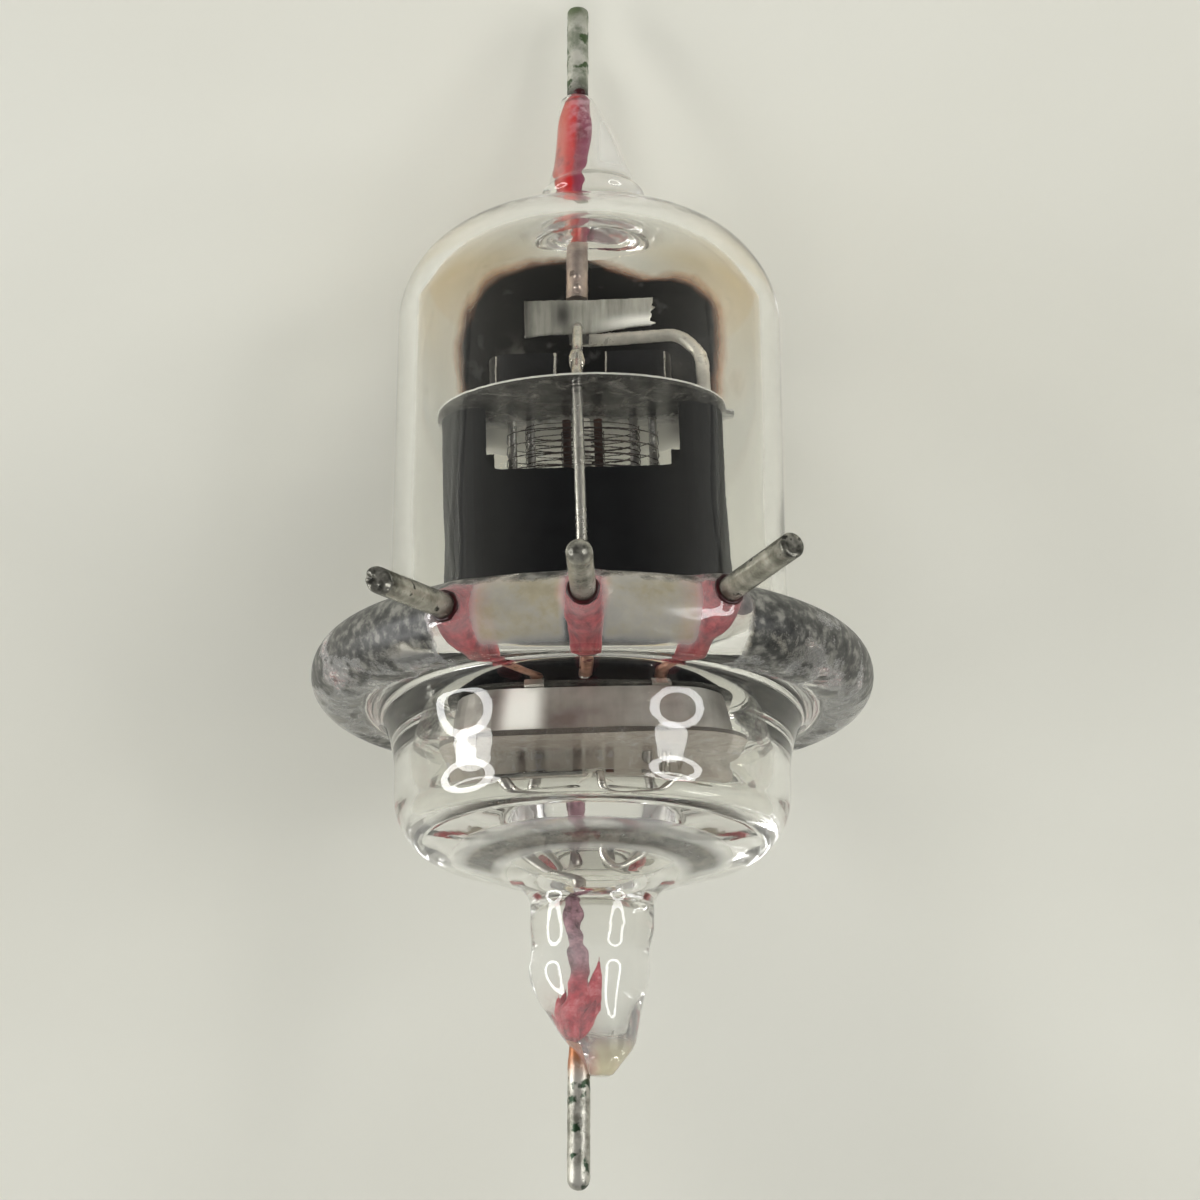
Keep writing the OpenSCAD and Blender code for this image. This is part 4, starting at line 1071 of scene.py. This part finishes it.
worn_metal("ring_pin_metal", (0.54, 0.52, 0.44), (0.25, 0.245, 0.195), (0.05, 0.05, 0.04),
           (0.02, 0.02, 0.017), (0.05, 0.02, 0.018))
worn_metal("top_pin_metal", (0.5, 0.49, 0.42), (0.2, 0.22, 0.16), (0.05, 0.085, 0.03), (0.1, 0.13, 0.06),
           (0.02, 0.015, 0.012), 0.5, 0.9, 0.8, 1700.0, 0.56, 0.9, 0.3)
worn_metal("bottom_pin_metal", (0.56, 0.54, 0.47), (0.19, 0.185, 0.15), (0.02, 0.045, 0.02), (0.4, 0.4, 0.36),
           (0.45, 0.17, 0.07), 0.36, 0.5, 0.95, 1700.0, 0.58, 1.0, 0.55)

# %% The seven pins
ENDS = {"front": "dome", "left": "snip", "right": "flat", "rear_left": "dome", "rear_right": "dome"}
GLASS_GAP, WORN_OFF = 0.06, 0.17
for side, end in ENDS.items():
    worn_pin("pin_%s_worn" % side, *pin_frame(RING_PINS[side]), RING_TUBE_R + GLASS_GAP, PIN_REACH - RING_R,
             end, "ring_pin_metal", "pin_" + side)
worn_pin("top_pin_worn", np.array([-TOP_OFF, 0, 0]), np.array([0, 0, 1.0]), BEAD_END_Z,
         TOP_PIN_END - WORN_OFF, "blunt", "top_pin_metal", "top_pin", wear=0.05)
worn_pin("bottom_pin_worn", np.array([-BOTTOM_OFF, 0, 0]), np.array([0, 0, -1.0]), 12.6, -BOTTOM_PIN_END,
         "dome", "bottom_pin_metal", "bottom_pin", (0.8, 0.9), 0.41, 0.05)
print("pins:", len(ENDS) + 2)

# %% [markdown]
# ## The wound grids
#
# A grid is a fine wire wound round two side rods, turn by turn, at a fixed pitch: a rule, so
# Geometry Nodes wind it. A spiral of radius one is pushed out to the grid's half width and depth,
# its front and back flattened as the winding mandrel leaves them, and a thin circle is swept along.

# %% The winding tree
def winding_tree():
    """A node group that winds a flattened spiral of fine wire."""
    tree = bpy.data.node_groups.new("wound_grid", "GeometryNodeTree")
    face = tree.interface
    face.new_socket("Geometry", in_out="OUTPUT", socket_type="NodeSocketGeometry")
    for label, value in (("Half Width", 1.0), ("Half Depth", 1.0), ("Pitch", 0.3), ("Turns", 30.0),
                         ("Wire Radius", 0.03), ("Flatness", 0.6)):
        face.new_socket(label, in_out="INPUT", socket_type="NodeSocketFloat").default_value = value
    face.new_socket("Material", in_out="INPUT", socket_type="NodeSocketMaterial")
    g = Recipe(tree)
    given = g.put("NodeGroupInput").outputs
    spiral = g.put("GeometryNodeCurveSpiral", {
        "Resolution": 28, "Rotations": given["Turns"], "Start Radius": 1.0, "End Radius": 1.0,
        "Height": g.times(given["Pitch"], given["Turns"])}).outputs[0]
    spot = g.parts(g.put("GeometryNodeInputPosition").outputs[0])
    bulk = g.maths("POWER", g.maths("ABSOLUTE", spot[1]), given["Flatness"])
    flattened = g.times(bulk, g.maths("SIGN", spot[1]))
    moved = g.put("ShaderNodeCombineXYZ", {0: g.times(spot[0], given["Half Width"]),
                                           1: g.times(flattened, given["Half Depth"]), 2: spot[2]}).outputs[0]
    wound = g.put("GeometryNodeSetPosition", {"Geometry": spiral, "Position": moved}).outputs[0]
    section = g.put("GeometryNodeCurvePrimitiveCircle", {"Resolution": 6, "Radius": given["Wire Radius"]})
    wire = g.put("GeometryNodeCurveToMesh", {"Curve": wound, "Profile Curve": section.outputs[0],
                                             "Fill Caps": True}).outputs[0]
    real = g.put("GeometryNodeRealizeInstances", {0: wire}).outputs[0]
    dressed = g.put("GeometryNodeSetMaterial", {"Geometry": real, "Material": given["Material"]}).outputs[0]
    g.put("NodeGroupOutput", {0: dressed})
    return tree


winding = winding_tree()
print("winding tree:", len(winding.nodes), "nodes")


# %% Wind the three grids
def wind(tree, name, inputs):
    """Runs the tree once with its inputs and keeps the plain mesh that it makes."""
    holder = show(name + "_tree", bpy.data.meshes.new(name + "_tree"))
    modifier = holder.modifiers.new("winding", "NODES")
    modifier.node_group = tree
    for item in tree.interface.items_tree:
        if item.in_out == "INPUT" and item.name in inputs:
            modifier[item.identifier] = inputs[item.name]
    graph = bpy.context.evaluated_depsgraph_get()
    graph.update()
    mesh = bpy.data.meshes.new_from_object(holder.evaluated_get(graph))
    holder.modifiers.remove(modifier)
    bpy.data.objects.remove(holder)
    mesh.name = name
    mesh.polygons.foreach_set("use_smooth", [True] * len(mesh.polygons))
    return show(name, mesh)


WIND_BOTTOM, WIND_TOP, ROD_ROOM = 0.36, 9.74, 0.21
for grid, half_x, half_y, pitch in (("control", 0.58, 0.52, 0.2), ("screen", 1.9, 1.05, 0.24),
                                    ("suppressor", 2.6, 1.6, 0.48)):
    turns = int((WIND_TOP - WIND_BOTTOM) / pitch)
    made = wind(winding, grid + "_grid_wound", {
        "Half Width": half_x + ROD_ROOM, "Half Depth": half_y, "Pitch": pitch, "Turns": float(turns),
        "Wire Radius": 0.02, "Flatness": 0.55, "Material": FINISHES["fine_wire"]})
    made.data.transform(CAGE @ Matrix.Translation((0, 0, WIND_BOTTOM)))
    keep(made, "fine_wire", grid + "_grid_winding")
    print(grid, "grid:", turns, "turns,", len(made.data.polygons), "faces")

# %% [markdown]
# ## The getter
#
# A thin plate on its own wire held the getter's metal. When it was flashed, the metal left the
# plate and settled on the dome behind it as a black mirror, which thins out to brown and amber at
# its ragged edge. The plate is left scorched and a little curled, and its finish adds painted shade
# and a painted highlight. A grid of points takes the curl, and Solidify gives it its thickness.

# %% The flag
def getter_flag(wide=49, high=13):
    """A curled, folded plate: a grid of points with a rolled lower edge and one ragged end."""
    points = []
    for v in (k / (high - 1) for k in range(high)):
        for u in (i / (wide - 1) for i in range(wide)):
            x = -2.0 + 4.8 * u
            wave = 0.05 * noise.noise(Vector((x * 1.1, v * 1.6, 3.0)))
            curl = 0.10 * (1 - v) ** 2 + 0.05 * math.cos(u * 5.0)
            torn = 0.22 * step_up(u, 0.93, 1.0) * noise.noise(Vector((v * 7.0, 1.0, 4.0)))
            z = 12.93 + 1.46 * v + (0.04 * math.sin(u * 9.0) + 0.36 * u) * (1 - v)
            points.append((x - 0.12 * u * (1 - v) + torn, -1.0 - 0.2 * (v - 0.5) + wave - curl, z))
    plate = link_mesh("getter_flag_curled", points, skin(high, wide, open_rows=True), place=CAGE)
    across, up = np.tile(np.linspace(0, 1, wide), high), np.repeat(np.linspace(0, 1, high), wide)
    # Darker round the weld, plus painted shade at the folded left end and towards the upper left.
    weld = 0.9 * np.exp(-((across - 0.3) / 0.08) ** 2 - ((up - 0.55) / 0.5) ** 2)
    darkening_and_painted_shade = weld + 0.75 * (1 - step_up(across, 0.0, 0.07)) + 0.35 * (1 - step_up(across, 0.1, 0.5)) * up
    paint(plate, "weld_mark_and_painted_shade", np.clip(darkening_and_painted_shade, 0, 1))
    # A painted highlight along the plate's lower right edge.
    paint(plate, "painted_gleam", step_up(across, 0.45, 0.9) * np.exp(-((up - 0.22) / 0.2) ** 2))
    thick = plate.modifiers.new("sheet", "SOLIDIFY")
    thick.thickness = 0.00008
    thick.offset = 0.0
    return plate


def flag_nickel():
    """Satin nickel, scorched where the wire was welded on, with painted shade at the folded left end and
    towards the upper left, and a painted highlight along its lower right edge.
    """
    r = Finish("flag_nickel")
    lines = r.cloud(5000.0, 3.0, where=r.drawn_out(0.12))
    base = r.ramp(r.plus(r.times(lines, 0.5), r.times(r.cloud(700.0, 4.0), 0.5)),
                  [(0.36, (0.2, 0.195, 0.17)), (0.62, (0.42, 0.41, 0.36))])
    # The painted highlight along the lower right edge.
    painted_gleam_colour = r.blend(r.mark("painted_gleam"), base, (0.95, 0.94, 0.88))
    # Darker at the weld, and painted shade at the folded left end and towards the upper left.
    darkened_and_shaded = r.blend(r.mark("weld_mark_and_painted_shade"), painted_gleam_colour, (0.05, 0.048, 0.043))
    r.close(r.surface(darkened_and_shaded, 0.32, {"Metallic": 0.35, "Normal": r.bump(lines, 0.2)}))


flag_nickel()
keep(getter_flag(), "bright_nickel", "getter_flag", "flag_nickel")

# %% [markdown]
# ### The film
#
# The film is drawn as a skin just inside the dome, wider than the metal really lies. Its cover is
# an attribute: full in the middle, falling to nothing at the edge. The shader turns cover into
# colour, from black through brown and amber to nothing, and a noise makes the edge ragged.

# %% The film's skin
film_profile = ([(BULB_R - WALL, z) for z in (11.4, 12.0, 12.6, 13.2)]
                + arc((shoulder_y, SHOULDER_Z), SHOULDER_R - WALL, 0, 74, 18)
                + [(3.8, 16.66), (3.1, 16.85), (2.6, 17.02), (2.2, 17.15), (1.9, 17.32), (1.7, 17.43)])
film_azimuths = np.radians(np.linspace(180 - 84, 180 + 84, 113))
SKIN_GAP = 0.03
# How far the film reaches left and right from the back, in degrees, at runs along the profile.
LEFT_EDGE = [0, 2.0, 3.7, 4.4, 5.3, 6.3, 6.9, 8.0, 8.65, 9.0], [50, 52, 57, 60, 63, 66, 67, 58, 33, -2]
RIGHT_EDGE = ([0, 2.0, 3.7, 4.4, 5.3, 6.3, 6.75, 6.95, 8.0, 8.6, 9.0],
              [50, 52, 58, 62, 64, 66, 60, 46, 28, 6, -10])
skin_points, cover = [], []
runs = np.cumsum([0] + [math.dist(a, b) for a, b in zip(film_profile, film_profile[1:])])
for run, (radius, z) in zip(runs, film_profile):
    left, right = np.interp(run, *LEFT_EDGE), np.interp(run, *RIGHT_EDGE)
    r = radius - SKIN_GAP
    for a in film_azimuths:
        skin_points.append((r * math.sin(a), -r * math.cos(a), z - (SKIN_GAP if radius < 4.3 else 0.0)))
        from_back = 180 - math.degrees(a)
        gap = min(from_back + left, right - from_back) * math.pi / 180 * radius
        cover.append(max(0.0, min(1.0, 0.36 + gap / 2.4, (run - 0.3) / 1.2, 0.4 + (8.9 - run) / 1.4)))
skin_points = settle(skin_points)
quads = skin(len(film_profile), len(film_azimuths), open_rows=True)
film = link_mesh("getter_film_flashed", skin_points, [(a, d, c, b) for a, b, c, d in quads])
film_x, _, film_z = skin_points.T
paint(film, "cover", cover)
paint(film, "bloom", np.exp(-((film_x + 3.0) / 0.6) ** 2 - ((film_z - 13.9) / 0.9) ** 2))


# %% The film's finish
def film_finish():
    """The black mirror and its brown and amber edge."""
    r = Finish("getter_mirror")
    fine = r.cloud(900.0, 3.0)
    rag = r.ragged(r.mark("cover"), r.cloud(380.0, 5.0, 0.6), 0.55)
    colour = r.ramp(rag, [(0.0, (0.82, 0.5, 0.2)), (0.17, (0.52, 0.2, 0.055)), (0.34, (0.12, 0.042, 0.018)),
                          (0.48, (0.006, 0.006, 0.006))])
    mottled = r.blend(r.ramp(fine, [(0.6, 0.0), (0.7, 0.4)]), colour, (0.12, 0.12, 0.12))
    bare = r.times(r.mark("bloom"), r.ramp(fine, [(0.42, 0.0), (0.52, 1.0)]))
    veil = r.ramp(rag, [(0.02, 0.0), (0.12, 0.28), (0.28, 0.7), (0.44, 0.99)])
    bloomed = r.blend(bare, mottled, (0.45, 0.43, 0.39))
    r.close(r.surface(bloomed, 0.3, {"Specular IOR Level": 0.1, "Alpha": veil}))


film_finish()
keep(film, "getter_mirror", "getter_film")

# %% [markdown]
# ## Small marks of the maker
#
# The spot welds of the getter, a scale of oxide at the top pin's root and the bright cut edges of
# the top shield are small, but the eye looks for them. A weld is a ball of triangles with a little
# noise on its points, and an edge is a thin wire that wavers.

# %% Weld knots
def knot(name, centre, size, seed, place=CAGE):
    """A small uneven lump."""
    lump = bmesh.new()
    bmesh.ops.create_icosphere(lump, subdivisions=3, radius=1.0)
    points = []
    for v in lump.verts:
        swell = 1.0 + 0.22 * noise.noise(v.co * 2.1 + Vector((seed, 0, 0)))
        points.append(tuple(centre[i] + size[i] * v.co[i] * swell for i in range(3)))
    faces = [tuple(v.index for v in f.verts) for f in lump.faces]
    lump.free()
    print(name, "has", len(faces), "faces")
    return link_mesh(name, points, faces, place=place)


keep(knot("getter_weld", (-0.12, -2.42, 11.38), (0.28, 0.27, 0.5), 1.0), "nickel_rod", finish="bright_nickel")
keep(knot("flag_weld", (-0.05, -1.3, 13.1), (0.2, 0.16, 0.3), 2.0), "nickel_rod")
keep(knot("top_root_scale", (-0.52, -0.42, 23.6), (0.22, 0.12, 0.16), 5.0, TUBE), "copper_clad",
     finish="copper_root")

# %% The bright cut edges of the top shield
EDGES = ((-3.02, -2.16), (-0.92, -2.32), (0.92, -2.32), (3.02, -2.16))
for k, (x, y) in enumerate(EDGES):
    edge_line = [(x + 0.012 * math.sin(5 * z), y, z) for z in np.linspace(10.24, 11.75, 16)]
    keep(sweep("shield_edge_%d" % k, edge_line, 0.035, 8), "bright_nickel")
print("shield edges:", len(EDGES))
